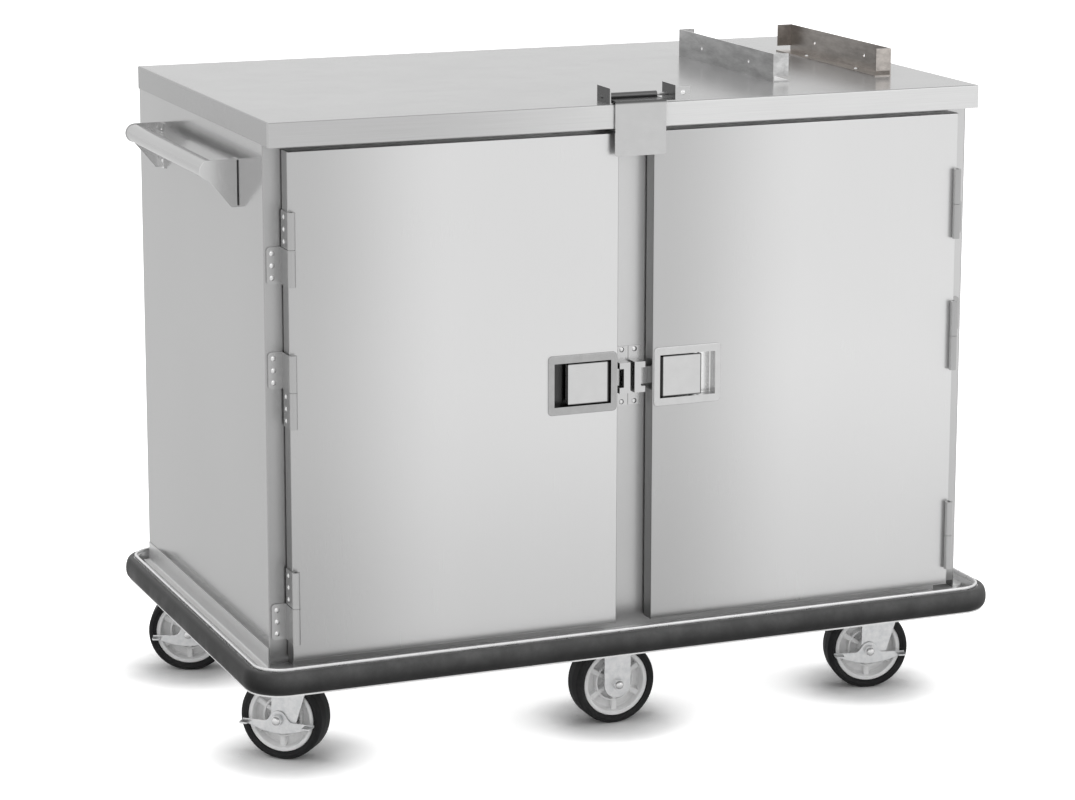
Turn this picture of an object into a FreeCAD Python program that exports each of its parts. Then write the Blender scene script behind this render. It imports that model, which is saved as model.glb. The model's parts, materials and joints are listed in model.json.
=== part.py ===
import FreeCAD, Part
import math
import os
import re
import Sketcher
from collections import namedtuple
from FreeCAD import Placement, Rotation, Vector

# Enclosed two-bay meal tray cart, in millimetres. The origin is on the floor
# under the middle of the cart, +X runs along its length, the doors face -Y
# and +Z is up.

DIMENSIONS = {
    # top and body
    "top_length": 1310.0,
    "top_depth": 782.0,
    "top_height": 1122.0,
    "top_apron": 41.0,
    "sheet_gauge": 1.5,
    "top_bend": 2.5,
    "front_overhang": 43.0,
    "side_return": 20.0,
    # welded front frame
    "post_width": 40.0,
    "frame_depth": 25.0,
    "frame_wall": 2.0,
    "mullion_width": 105.0,
    "header_drop": 66.0,
    "sill_tall": 31.0,
    "post_foot_gap": 14.0,
    # deck, cross members and bumper
    "deck_over_wheel": 41.0,
    "deck_gauge": 3.0,
    "deck_flange": 22.0,
    "deck_front_chamfer": 75.0,
    "deck_back_chamfer": 46.0,
    "cross_height": 15.0,
    "cross_width": 116.0,
    "cross_end_gap": 1.0,
    "cross_gauge": 2.0,
    "bumper_end_reach": 43.0,
    "bumper_side_reach": 31.0,
    "bumper_drop": 29.0,
    "bumper_tall": 40.0,
    "bumper_corner": 60.0,
    "lip_reach": 14.0,
    "channel_gauge": 2.5,
    "rubber_bulge": 7.0,
    "rubber_round": 11.0,
    # bay divider and tray racks
    "divider_width": 25.0,
    "upright_width": 30.0,
    "upright_inset": 8.0,
    "rack_front_gap": 15.5,
    "rack_back_gap": 9.0,
    "rack_head_gap": 78.0,
    "runner_first": 55.0,
    "runner_pitch": 130.0,
    "runner_count": 6,
    "runner_ledge": 34.0,
    "runner_leg": 25.0,
    # doors
    "hinge_margin": 32.0,
    "mullion_reveal": 65.0,
    "door_top_gap": 9.0,
    "door_bottom_gap": 18.0,
    "door_setback": 10.0,
    "gasket_thick": 3.6,
    "gasket_wide": 8.0,
    "gasket_inset": 1.0,
    "gasket_clearance": 0.4,
    "liner_gauge": 1.2,
    "liner_dish": 8.0,
    "liner_margin": 42.0,
    "door_bend": 2.0,
    # hinges
    "knuckle_tall": 62.0,
    "knuckle_gap": 0.6,
    "knuckle_radius": 6.75,
    "hinge_pin_radius": 3.0,
    "pin_reach": 54.0,
    "running_clearance": 0.06,
    "hinge_arm_gauge": 2.5,
    "hinge_flange_gauge": 3.0,
    "hinge_edge_margin": 4.5,
    "hinge_corner": 6.0,
    "hinge_standoff": 7.5,
    "hinge_side_gap": 0.75,
    "hinge_top_drop": 161.0,
    "hinge_middle_drop": 400.0,
    "hinge_low_rise": 94.0,
    "hinge_screw_pitch": 20.5,
    "hinge_screw_inset": 9.5,
    "door_screw_depth": 15.0,
    # screws
    "screw_head_radius": 4.6,
    "screw_head_tall": 2.2,
    "screw_shank_radius": 2.4,
    "screw_hole_gap": 0.1,
    # latches and catches
    "latch_drop": 429.5,
    "bezel_wide": 127.0,
    "bezel_tall": 104.0,
    "bezel_gauge": 2.5,
    "bezel_corner": 7.0,
    "bezel_round": 1.5,
    "bezel_edge_gap": 2.5,
    "recess_wide": 105.0,
    "recess_tall": 76.0,
    "recess_deep": 20.0,
    "recess_wall": 1.5,
    "cutout_gap": 0.4,
    "paddle_wide": 74.0,
    "paddle_tall": 72.0,
    "paddle_gauge": 3.0,
    "paddle_corner": 2.0,
    "paddle_lip": 9.0,
    "paddle_setback": 2.0,
    "paddle_rod_radius": 2.5,
    "paddle_knuckle": 4.0,
    "paddle_side_gap": 1.0,
    "paddle_rod_gap": 0.1,
    "bolt_tall": 30.0,
    "bolt_thick": 5.0,
    "bolt_reach": 15.5,
    "bolt_length": 60.0,
    "bolt_gap": 0.6,
    "bolt_bevel": 3.0,
    "catch_plate_wide": 24.0,
    "catch_plate_tall": 104.0,
    "catch_plate_gauge": 2.0,
    "catch_box_wide": 20.0,
    "catch_box_tall": 54.0,
    "catch_box_deep": 20.0,
    "catch_mouth_tall": 33.0,
    "catch_lip_gap": 1.0,
    "catch_pocket_deep": 18.0,
    "catch_lip_thick": 8.0,
    "catch_back_wall": 3.5,
    "catch_screw_rise": 46.0,
    # end handles
    "handle_diameter": 32.0,
    "handle_wall": 2.0,
    "handle_reach": 49.0,
    "handle_drop": 101.0,
    "handle_length": 465.0,
    "handle_centre": 18.0,
    "bracket_gauge": 3.0,
    "bracket_tall": 81.0,
    "bracket_flange": 26.0,
    "bracket_rim": 1.0,
    "bracket_nose": 12.0,
    "bracket_slope": 8.5,
    "bracket_screw_inset": 14.0,
    # cradle rails on the top
    "cradle_spacing": 235.0,
    "cradle_end_inset": 206.5,
    "cradle_length": 403.0,
    "cradle_centre": -26.0,
    "cradle_web": 50.0,
    "cradle_foot": 32.0,
    "cradle_gauge": 2.0,
    "cradle_tab_wide": 30.0,
    "cradle_tab_drop": 40.0,
    "cradle_hole_radius": 3.25,
    "cradle_hole_pitch": 200.0,
    # travel latch at the middle of the front edge
    "ear_gauge": 2.0,
    "ear_deep": 55.0,
    "ear_tall": 27.0,
    "ear_foot": 18.0,
    "left_ear_offset": 53.0,
    "right_ear_offset": 70.0,
    "ear_setback": 3.0,
    "ear_tab_wide": 25.0,
    "ear_tab_tall": 20.0,
    "ear_tab_rise": 4.0,
    "travel_pin_radius": 3.0,
    "travel_knuckle": 6.0,
    "travel_pin_setback": 39.0,
    "travel_lift": 0.6,
    "travel_gauge": 2.0,
    "travel_wide": 94.0,
    "travel_shift": 1.0,
    "travel_drop": 92.0,
    "travel_standoff": 3.0,
    "travel_corner": 4.0,
    # casters
    "caster_end_inset": 124.0,
    "caster_side_inset": 125.0,
    "caster_trail": 47.0,
    "front_left_swivel_angle": -41.5,
    "front_right_swivel_angle": -13.5,
    "rear_left_swivel_angle": -21.5,
    "rear_right_swivel_angle": -17.0,
    "wheel_diameter": 150.0,
    "rim_diameter": 121.0,
    "rim_lip": 8.0,
    "rim_wide": 44.0,
    "tyre_wide": 48.0,
    "tyre_round": 8.0,
    "hub_radius": 17.0,
    "hub_wide": 50.0,
    "wheel_web": 8.0,
    "rib_count": 6,
    "rib_thick": 9.0,
    "rib_wide": 32.0,
    "axle_radius": 6.0,
    "axle_clearance": 0.05,
    "nut_radius": 10.0,
    "nut_tall": 8.0,
    "axle_head_tall": 5.0,
    "plate_long": 105.0,
    "plate_wide": 85.0,
    "plate_gauge": 5.0,
    "race_radius": 33.0,
    "race_tall": 7.0,
    "race_gap": 0.4,
    "crown_gauge": 5.0,
    "crown_front": 34.0,
    "crown_back": 50.0,
    "kingpin_radius": 7.0,
    "kingpin_head": 12.0,
    "kingpin_head_tall": 6.0,
    "leg_gauge": 3.5,
    "leg_gap": 3.0,
    "leg_top_back": 59.0,
    "leg_top_front": 18.0,
    "leg_heel": 30.0,
    "leg_heel_drop": 10.0,
    "leg_nose": 14.0,
    "rigid_leg_wide": 50.0,
    "caster_bolt_radius": 5.0,
    "caster_bolt_head": 7.5,
    "caster_bolt_head_tall": 5.0,
    "caster_nut_tall": 7.0,
    "bolt_spacing_long": 82.0,
    "bolt_spacing_wide": 60.0,
    "brake_gauge": 3.0,
    "brake_gap": 0.5,
    "brake_hub": 16.0,
    "brake_belly": 25.0,
    "brake_crest": 10.0,
    "brake_half_span": 66.0,
    "brake_tip_drop": 8.0,
    "brake_tab_long": 17.0,
    "brake_tab_deep": 21.0,
    # how far a cut runs past the face that it starts from
    "cut_margin": 1.0,
}

doc = FreeCAD.newDocument("meal_tray_cart")
dims = doc.addObject("Spreadsheet::Sheet", "dims")
for row, (alias, number) in enumerate(DIMENSIONS.items(), start=1):
    dims.set(f"A{row}", alias)
    dims.set(f"B{row}", str(number))
    dims.setAlias(f"B{row}", alias)
doc.recompute()

# Places worked out from the driving sizes. Each is a formula over the sheet.
APRON_FRONT = "(-top_depth/2)"
BODY_SIDE = "(top_length/2 - sheet_gauge)"
BODY_BACK = "(top_depth/2 - sheet_gauge)"
PANEL_INNER = f"({BODY_SIDE} - sheet_gauge)"
TOP_UNDERSIDE = "(top_height - sheet_gauge)"
FRAME_FACE = f"({APRON_FRONT} + front_overhang)"
FRAME_BACK = f"({FRAME_FACE} + frame_depth)"
BACK_INNER = f"({BODY_BACK} - 2*sheet_gauge)"
DECK_TOP = "(wheel_diameter + deck_over_wheel)"
DECK_UNDERSIDE = f"({DECK_TOP} - deck_gauge)"
FLOOR_TOP = f"({DECK_TOP} + cross_height + sheet_gauge)"
BUMPER_BASE = f"({DECK_TOP} - bumper_drop)"
CHANNEL_HALF_LONG = "(top_length/2 + bumper_end_reach - lip_reach)"
CHANNEL_HALF_DEEP = "(top_depth/2 + bumper_side_reach - lip_reach)"
CHANNEL_CORNER = "(bumper_corner - lip_reach)"
DOOR_OUTER = f"({BODY_SIDE} - hinge_margin)"
DOOR_INNER = "(mullion_reveal/2)"
DOOR_TOP = "(top_height - top_apron - door_top_gap)"
DOOR_BOTTOM = f"({DECK_TOP} + door_bottom_gap)"
DOOR_FACE = f"({APRON_FRONT} + door_setback)"
DOOR_BACK = f"({FRAME_FACE} - gasket_clearance - gasket_thick)"
DOOR_DEPTH = f"({DOOR_BACK} - {DOOR_FACE})"
HINGE_X = f"({DOOR_OUTER} + hinge_side_gap + hinge_arm_gauge - knuckle_radius)"
HINGE_Y = f"({DOOR_FACE} - hinge_standoff)"
DOOR_SCREW_Y = "(hinge_standoff + door_screw_depth)"
FRAME_SCREW_X = f"({BODY_SIDE} - hinge_edge_margin - hinge_screw_inset)"
LATCH_HEIGHT = f"({DOOR_TOP} - latch_drop)"
LATCH_X = f"({DOOR_INNER} + bezel_edge_gap + bezel_wide/2)"
RECESS_EDGE = f"({LATCH_X} - recess_wide/2)"
PADDLE_X = f"({RECESS_EDGE} + paddle_side_gap + paddle_knuckle)"
PADDLE_Y = f"({DOOR_FACE} - bezel_gauge + paddle_setback + paddle_gauge)"
BOLT_Y = f"({DOOR_FACE} + recess_deep + recess_wall + bolt_gap)"
BOLT_TIP = f"({DOOR_INNER} - bolt_reach)"
AXLE_HEIGHT = "(wheel_diameter/2)"
LEG_INNER = "(tyre_wide/2 + leg_gap)"
LEG_OUTER = f"({LEG_INNER} + leg_gauge)"
PLATE_UNDERSIDE = f"({DECK_UNDERSIDE} - plate_gauge)"
CROWN_TOP = f"({PLATE_UNDERSIDE} - race_tall - race_gap)"
CROWN_UNDERSIDE = f"({CROWN_TOP} - crown_gauge)"
TRAVEL_Y = f"({APRON_FRONT} + travel_pin_setback)"
TRAVEL_Z = "(top_height + ear_gauge + travel_lift + travel_knuckle)"
TRAVEL_FRONT = f"({APRON_FRONT} - travel_standoff - travel_gauge)"
HANDLE_X = f"({BODY_SIDE} + handle_reach)"
HANDLE_HEIGHT = "(top_height - handle_drop)"
CRADLE_X = "(top_length/2 - cradle_end_inset)"
RACK_FRONT = f"({FRAME_BACK} + rack_front_gap)"
RACK_REAR = f"({BACK_INNER} - rack_back_gap)"
CASTER_X = f"({CHANNEL_HALF_LONG} - caster_end_inset)"
CASTER_Y = f"({CHANNEL_HALF_DEEP} - caster_side_inset)"
SCREW_HOLE = "screw_shank_radius + screw_hole_gap"

# A rectangle with round corners about a sketch's origin.
Rounded = namedtuple("Rounded", "half_across half_up radius")

LEFT, RIGHT = -1, 1
SIDES = {"left": LEFT, "right": RIGHT}
EMPTY = Placement()


def bound(formula):
    """A formula with every sheet alias in it written as dims.alias."""
    return re.sub(
        r"[a-z][a-z_]+",
        lambda found: "dims." + found.group() if found.group() in DIMENSIONS else found.group(),
        str(formula),
    )


def value(formula):
    """What a formula over the sheet comes to, as a number."""
    return float(dims.evalExpression(bound(formula)))


def body(label, x="0", y="0", z="0", turn="0"):
    """A new body whose own origin is at x, y, z, turned about +Z by a sheet size."""
    made = doc.addObject("PartDesign::Body", label)
    made.Label = label
    for axis, formula in zip("xyz", (x, y, z)):
        made.setExpression(f".Placement.Base.{axis}", bound(formula))
    made.setExpression(".Placement.Rotation.Angle", bound(turn) + " * 1 deg")
    return made


def sketch(owner, plane, loops, lift="0"):
    """A sketch of closed loops. A loop is a list of corners, a Rounded or one
    circle as (across, up, radius); lift moves it along the plane's normal."""
    made = owner.newObject("Sketcher::SketchObject", owner.Label + "_sketch")
    role = plane + "_Plane"
    made.AttachmentSupport = [(f, "") for f in owner.Origin.OriginFeatures if f.Role == role]
    made.MapMode = "FlatFace"
    made.setExpression(".AttachmentOffset.Base.z", bound(lift))
    for loop in loops:
        if isinstance(loop, Rounded):
            add_rounded(made, loop)
        elif isinstance(loop, tuple):
            add_circle(made, *loop)
        else:
            add_corners(made, loop)
    return made


def pin_point(made, geometry, vertex, across, up):
    """Holds one point of a sketch at its two signed distances from the origin."""
    for kind, formula in (("DistanceX", across), ("DistanceY", up)):
        index = made.addConstraint(Sketcher.Constraint(kind, -1, 1, geometry, vertex, 1.0))
        made.setExpression(f"Constraints[{index}]", bound(formula))


def add_circle(made, across, up, radius):
    index = made.addGeometry(Part.Circle(Vector(), Vector(0, 0, 1), 5.0), False)
    pin_point(made, index, 3, across, up)
    hold_radius(made, index, radius)


def hold_radius(made, index, radius):
    held = made.addConstraint(Sketcher.Constraint("Radius", index, value(radius)))
    made.setExpression(f"Constraints[{held}]", bound(radius))


def add_rounded(made, shape):
    """Four corner arcs, each tangent to the straight sides on either hand."""
    first, radius = made.GeometryCount, value(shape.radius)
    across, up = f"({shape.half_across} - {shape.radius})", f"({shape.half_up} - {shape.radius})"
    centres = ((across, up), (f"-{across}", up), (f"-{across}", f"-{up}"), (across, f"-{up}"))
    for turn, centre in enumerate(centres):
        circle = Part.Circle(Vector(value(centre[0]), value(centre[1]), 0), Vector(0, 0, 1), radius)
        start = turn * math.pi / 2
        made.addGeometry(Part.ArcOfCircle(circle, start, start + math.pi / 2), False)
    for turn in range(4):
        following = first + (turn + 1) % 4
        side = made.addGeometry(Part.LineSegment(made.Geometry[first + turn].EndPoint,
                                                 made.Geometry[following].StartPoint), False)
        made.addConstraint(Sketcher.Constraint("Tangent", first + turn, 2, side, 1))
        made.addConstraint(Sketcher.Constraint("Tangent", side, 2, following, 1))
    for turn, centre in enumerate(centres):
        pin_point(made, first + turn, 3, *centre)
        hold_radius(made, first + turn, shape.radius)


def add_corners(made, corners):
    first = made.GeometryCount
    count = len(corners)
    start = [Vector(value(across), value(up), 0) for across, up in corners]
    for i in range(count):
        made.addGeometry(Part.LineSegment(start[i], start[(i + 1) % count]), False)
    for i in range(count):
        following = first + (i + 1) % count
        made.addConstraint(Sketcher.Constraint("Coincident", first + i, 2, following, 1))
    for i, (across, up) in enumerate(corners):
        pin_point(made, first + i, 1, across, up)


def rectangle(low_across, low_up, high_across, high_up):
    return [(low_across, low_up), (high_across, low_up),
            (high_across, high_up), (low_across, high_up)]


def centred(wide, tall):
    return rectangle(f"-({wide})/2", f"-({tall})/2", f"({wide})/2", f"({tall})/2")


def pad(owner, profile, length, back=False, middle=False):
    """Adds material along the sketch's normal, or against it, or both ways."""
    made = owner.newObject("PartDesign::Pad", owner.Label + "_pad")
    made.Profile = profile
    made.setExpression("Length", bound(length))
    made.Reversed = back
    if middle:
        made.SideType = "Symmetric"
    profile.Visibility = False
    doc.recompute()
    return made


def pocket(owner, profile, length=None, back=False, middle=False):
    """Removes material against the sketch's normal, or along it with back."""
    before = owner.Shape.Volume
    made = owner.newObject("PartDesign::Pocket", owner.Label + "_pocket")
    made.Profile = profile
    made.Reversed = back
    if middle:
        made.SideType = "Symmetric"
    if length is None:
        made.Type = "ThroughAll"
    else:
        made.setExpression("Length", bound(length))
    doc.recompute()
    if owner.Shape.Volume > before - 1e-6:
        raise RuntimeError(f"a pocket in {owner.Label} removes nothing")
    return made


def round_edges(owner, chosen, radius):
    """Rounds the edges of a body that the test picks out."""
    names = [f"Edge{i}" for i, edge in enumerate(owner.Shape.Edges, start=1) if chosen(edge)]
    if not names:
        raise RuntimeError(f"no edge of {owner.Label} to round")
    base = owner.Tip
    made = owner.newObject("PartDesign::Fillet", owner.Label + "_fillet")
    made.Base = (base, names)
    made.setExpression("Radius", bound(radius))
    doc.recompute()
    return made


def along(edge, axis):
    """True where a straight edge runs along one axis (0, 1 or 2)."""
    if not isinstance(edge.Curve, Part.Line):
        return False
    direction = edge.Curve.Direction
    return abs(abs(direction[axis]) - 1) < 1e-6


def at(edge, axis, place, slack=0.01):
    """True where every end of an edge lies at one place along an axis."""
    return all(abs(vertex.Point[axis] - place) < slack for vertex in edge.Vertexes)


def copies(label, source, spots):
    """One node of equal solids: source set down at each spot (x, y, z, mirrors)."""
    shapes = []
    for x, y, z, mirrors in spots:
        shape = source.Shape.copy()
        shape.Placement = EMPTY
        for axis in mirrors:
            shape = shape.mirror(Vector(), axis)
        shape.translate(Vector(value(x), value(y), value(z)))
        shapes.append(shape)
    made = doc.addObject("Part::Feature", label)
    made.Shape = Part.makeCompound(shapes)
    made.Label = label
    return made


ACROSS = Vector(1, 0, 0)
DEEP = Vector(0, 1, 0)
UP = Vector(0, 0, 1)


def mirrors_for(side):
    return (ACROSS,) if side == RIGHT else ()


# ---- body shell ---------------------------------------------------------

def make_top_panel():
    """Drip-edged top: one sheet with an apron folded down all round."""
    made = body("top_panel")
    pad(made, sketch(made, "XY", [centred("top_length", "top_depth")], "top_height - top_apron"),
        "top_apron")
    inside = centred("top_length - 2*sheet_gauge", "top_depth - 2*sheet_gauge")
    pocket(made, sketch(made, "XY", [inside], "top_height - top_apron"),
           "top_apron - sheet_gauge", back=True)
    height = value("top_height")
    round_edges(made, lambda e: at(e, 2, height), "top_bend")
    return made


def make_side_panel(name, side):
    """End panel with a return folded in behind the back panel."""
    made = body("side_panel_" + name)
    inner = f"{side}*{PANEL_INNER}"
    outer = f"{side}*{BODY_SIDE}"
    folded = f"{side}*({PANEL_INNER} - side_return)"
    outline = [(outer, FRAME_FACE), (outer, BODY_BACK), (folded, BODY_BACK),
               (folded, f"{BODY_BACK} - sheet_gauge"), (inner, f"{BODY_BACK} - sheet_gauge"),
               (inner, FRAME_FACE)]
    pad(made, sketch(made, "XY", [outline], DECK_TOP), f"{TOP_UNDERSIDE} - {DECK_TOP}")
    return made


def make_back_panel():
    made = body("back_panel", y=BACK_INNER, z=DECK_TOP)
    plate = rectangle(f"-{PANEL_INNER}", "0", PANEL_INNER, f"{TOP_UNDERSIDE} - {DECK_TOP}")
    pad(made, sketch(made, "XZ", [plate]), "sheet_gauge", back=True)
    return made


def make_cabinet_floor():
    """Bay floor with its front and back edges folded down to the deck."""
    made = body("cabinet_floor", z=DECK_TOP)
    high = "cross_height + sheet_gauge"
    outline = [(FRAME_BACK, "0"), (f"{FRAME_BACK} + sheet_gauge", "0"),
               (f"{FRAME_BACK} + sheet_gauge", "cross_height"),
               (f"{BACK_INNER} - sheet_gauge", "cross_height"),
               (f"{BACK_INNER} - sheet_gauge", "0"), (BACK_INNER, "0"),
               (BACK_INNER, high), (FRAME_BACK, high)]
    pad(made, sketch(made, "YZ", [outline]), f"2*{PANEL_INNER}", middle=True)
    return made


def bay_opening(grow):
    """The two door openings of the front frame, each grown by a wall."""
    near = f"mullion_width/2 - {grow}"
    far = f"{PANEL_INNER} - post_width + {grow}"
    low = f"{DECK_TOP} + sill_tall - {grow}"
    high = f"{TOP_UNDERSIDE} - header_drop + {grow}"
    return [rectangle(f"-({far})", low, f"-({near})", high), rectangle(near, low, far, high)]


def frame_outline(shrink):
    """Outside of the front frame: the sill runs down to the deck between the
    posts, which stop short and leave a drain notch at each corner."""
    outer = f"{PANEL_INNER} - {shrink}"
    step = f"{PANEL_INNER} - post_width - {shrink}"
    foot = f"{DECK_TOP} + {shrink}"
    heel = f"{DECK_TOP} + post_foot_gap + {shrink}"
    top = f"{TOP_UNDERSIDE} - {shrink}"
    return [(f"-({outer})", heel), (f"-({step})", heel), (f"-({step})", foot), (step, foot),
            (step, heel), (outer, heel), (outer, top), (f"-({outer})", top)]


def make_front_frame():
    """Welded front frame: two posts, centre mullion, header and sill, all
    folded channels open at the back."""
    made = body("front_frame", y=FRAME_FACE)
    pad(made, sketch(made, "XZ", [frame_outline("0")] + bay_opening("0")), "frame_depth", back=True)
    hollow = [frame_outline("frame_wall")] + bay_opening("frame_wall")
    pocket(made, sketch(made, "XZ", hollow, "-frame_depth"), "frame_depth - frame_wall", back=True)
    return made


def make_centre_divider():
    """Bay divider: a folded sheet with two skins joined behind the mullion."""
    made = body("centre_divider", z=FLOOR_TOP)
    half = "divider_width/2"
    skin = f"({half} - sheet_gauge)"
    outline = [(f"-{half}", FRAME_BACK), (half, FRAME_BACK), (half, BACK_INNER),
               (skin, BACK_INNER), (skin, f"{FRAME_BACK} + sheet_gauge"),
               (f"-{skin}", f"{FRAME_BACK} + sheet_gauge"), (f"-{skin}", BACK_INNER),
               (f"-{half}", BACK_INNER)]
    pad(made, sketch(made, "XY", [outline]), f"{TOP_UNDERSIDE} - {FLOOR_TOP}")
    return made


def make_tray_racks():
    """Four equal tray racks, two in each bay: channel uprights that carry
    angle runners. A rack's back is at x = 0 and its runners face +X."""
    made = body("tray_rack")
    reach = "(mullion_width/2 - divider_width/2)"
    length = f"({RACK_REAR} - {RACK_FRONT})"
    near = f"-({length}/2 - upright_inset)"

    def upright(start, finish):
        wall = "sheet_gauge"
        outline = [("0", start), (reach, start), (reach, finish), ("0", finish),
                   ("0", f"{finish} - {wall}"), (f"{reach} - {wall}", f"{finish} - {wall}"),
                   (f"{reach} - {wall}", f"{start} + {wall}"), ("0", f"{start} + {wall}")]
        pad(made, sketch(made, "XY", [outline]), f"{TOP_UNDERSIDE} - {FLOOR_TOP} - rack_head_gap")

    upright(near, f"{near} + upright_width")
    outer, ledge = f"{reach} + sheet_gauge", f"{reach} + runner_ledge"
    outline = [(reach, "runner_first"), (ledge, "runner_first"),
               (ledge, "runner_first + sheet_gauge"), (outer, "runner_first + sheet_gauge"),
               (outer, "runner_first + runner_leg"), (reach, "runner_first + runner_leg")]
    runner = pad(made, sketch(made, "XZ", [outline]), length, middle=True)
    upright(f"{length}/2 - upright_inset - upright_width", f"{length}/2 - upright_inset")
    pattern = made.newObject("PartDesign::LinearPattern", "tray_runners")
    pattern.Originals = [runner]
    pattern.Direction = (runner.Profile[0], ["V_Axis"])
    pattern.Reversed = False
    pattern.setExpression("Occurrences", bound("runner_count"))
    pattern.setExpression("Length", bound("runner_pitch * (runner_count - 1)"))
    made.Tip = pattern
    doc.recompute()
    middle = f"({RACK_FRONT} + {RACK_REAR})/2"
    return copies("tray_racks", made, [
        (f"-{PANEL_INNER}", middle, FLOOR_TOP, ()),
        ("-divider_width/2", middle, FLOOR_TOP, (ACROSS,)),
        ("divider_width/2", middle, FLOOR_TOP, ()),
        (PANEL_INNER, middle, FLOOR_TOP, (ACROSS,)),
    ])


# ---- base ---------------------------------------------------------------

def deck_outline(shrink):
    """Deck plan with cut corners, drawn in from its edge by a flange."""
    half_long = f"({CHANNEL_HALF_LONG} - channel_gauge - {shrink})"
    half_deep = f"({CHANNEL_HALF_DEEP} - channel_gauge - {shrink})"
    front = f"(deck_front_chamfer - {shrink}*(2 - sqrt(2)))"
    back = f"(deck_back_chamfer - {shrink}*(2 - sqrt(2)))"
    return [(f"-{half_long} + {front}", f"-{half_deep}"), (f"{half_long} - {front}", f"-{half_deep}"),
            (half_long, f"-{half_deep} + {front}"), (half_long, f"{half_deep} - {back}"),
            (f"{half_long} - {back}", half_deep), (f"-{half_long} + {back}", half_deep),
            (f"-{half_long}", f"{half_deep} - {back}"), (f"-{half_long}", f"-{half_deep} + {front}")]


def caster_bolt_circles(x, y, gap):
    return [(f"{x} + {i}*bolt_spacing_long/2", f"{y} + {j}*bolt_spacing_wide/2",
             f"caster_bolt_radius + {gap}") for i in (-1, 1) for j in (-1, 1)]


CASTER_SPOTS = {
    "front_left": (f"-{CASTER_X}", f"-{CASTER_Y}", "front_left_swivel_angle"),
    "front_right": (CASTER_X, f"-{CASTER_Y}", "front_right_swivel_angle"),
    "rear_left": (f"-{CASTER_X}", CASTER_Y, "rear_left_swivel_angle"),
    "rear_right": (CASTER_X, CASTER_Y, "rear_right_swivel_angle"),
}
RIGID_SPOTS = {
    "front_centre": ("0", f"-{CASTER_Y}"),
    "rear_centre": ("0", CASTER_Y),
}


def all_bolt_circles(gap):
    circles = []
    for spot in list(CASTER_SPOTS.values()) + list(RIGID_SPOTS.values()):
        circles += caster_bolt_circles(spot[0], spot[1], gap)
    return circles


def make_base_deck():
    """Base deck: a plate with a flange folded down all round."""
    made = body("base_deck")
    pad(made, sketch(made, "XY", [deck_outline("0")], DECK_UNDERSIDE), "deck_gauge")
    pad(made, sketch(made, "XY", [deck_outline("0"), deck_outline("deck_gauge")], DECK_UNDERSIDE),
        "deck_flange", back=True)
    pocket(made, sketch(made, "XY", all_bolt_circles("screw_hole_gap"), DECK_TOP),
           "deck_gauge + cut_margin")
    return made


def make_cross_members():
    """Hat channels across the deck over each pair of casters."""
    made = body("cross_member")
    half, inner = "(cross_width/2)", "(cross_width/2 - cross_gauge)"
    outline = [(f"-{half}", "0"), (f"-{half}", "cross_height"), (half, "cross_height"), (half, "0"),
               (inner, "0"), (inner, "cross_height - cross_gauge"),
               (f"-{inner}", "cross_height - cross_gauge"), (f"-{inner}", "0")]
    fold = "(sheet_gauge + cross_end_gap)"
    pad(made, sketch(made, "XZ", [outline]), f"{BACK_INNER} - {FRAME_BACK} - 2*{fold}", middle=True)
    centre = f"({BACK_INNER} + {FRAME_BACK})/2"
    return copies("cross_members", made,
                  [(x, centre, DECK_TOP, ()) for x in (f"-{CASTER_X}", "0", CASTER_X)])


def belt(reach):
    """Plan of the bumper, drawn out from the outer face of its web."""
    return Rounded(f"({CHANNEL_HALF_LONG} + {reach})", f"({CHANNEL_HALF_DEEP} + {reach})",
                   f"({CHANNEL_CORNER} + {reach})")


def make_bumper_channel():
    """Extruded channel bent round the cart, its lips holding the rubber."""
    made = body("bumper_channel")
    inner = belt("-channel_gauge")
    lip = [belt("lip_reach"), inner]
    pad(made, sketch(made, "XY", lip, BUMPER_BASE), "channel_gauge")
    pad(made, sketch(made, "XY", [belt("0"), inner], BUMPER_BASE), "bumper_tall")
    pad(made, sketch(made, "XY", lip, f"{BUMPER_BASE} + bumper_tall"), "channel_gauge", back=True)
    return made


def make_bumper_rubber():
    """Rubber strip that fills the channel and bulges out past its lips."""
    made = body("bumper_rubber")
    bulge = "lip_reach + rubber_bulge"
    pad(made, sketch(made, "XY", [belt(bulge), belt("0")], f"{BUMPER_BASE} + channel_gauge"),
        "bumper_tall - 2*channel_gauge")
    half_long, half_deep = value(belt(bulge).half_across), value(belt(bulge).half_up)

    def outside(edge):
        box = edge.BoundBox
        reach = max(-box.XMin, box.XMax), max(-box.YMin, box.YMax)
        return box.ZLength < 0.01 and (reach[0] > half_long - 0.5 or reach[1] > half_deep - 0.5)

    round_edges(made, outside, "rubber_round")
    return made


# ---- fasteners ----------------------------------------------------------

def screw_shape(shank_length):
    """A low dome-headed screw. The head sits on z = 0 and points to +Z."""
    head, tall = value("screw_head_radius"), value("screw_head_tall")
    sphere = (head**2 + tall**2) / (2*tall)
    dome = Part.makeSphere(sphere, Vector(0, 0, tall - sphere))
    dome = dome.common(Part.makeCylinder(head, tall))
    shank = Part.makeCylinder(value("screw_shank_radius"), shank_length, Vector(0, 0, -shank_length))
    return dome.fuse(shank)


def screw_group(label, rows):
    """A node of equal screws. A row is (x, y, z, direction, shank length)."""
    placed = []
    for x, y, z, direction, shank in rows:
        shape = screw_shape(value(shank))
        shape.Placement = Placement(Vector(value(x), value(y), value(z)), Rotation(UP, direction))
        placed.append(shape)
    made = doc.addObject("Part::Feature", label)
    made.Shape = Part.makeCompound(placed)
    made.Label = label
    return made


# ---- hinges -------------------------------------------------------------
# Three lift-off hinges to a door. The middle one is upside down, so that the
# door can't be lifted off while it is shut.

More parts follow.
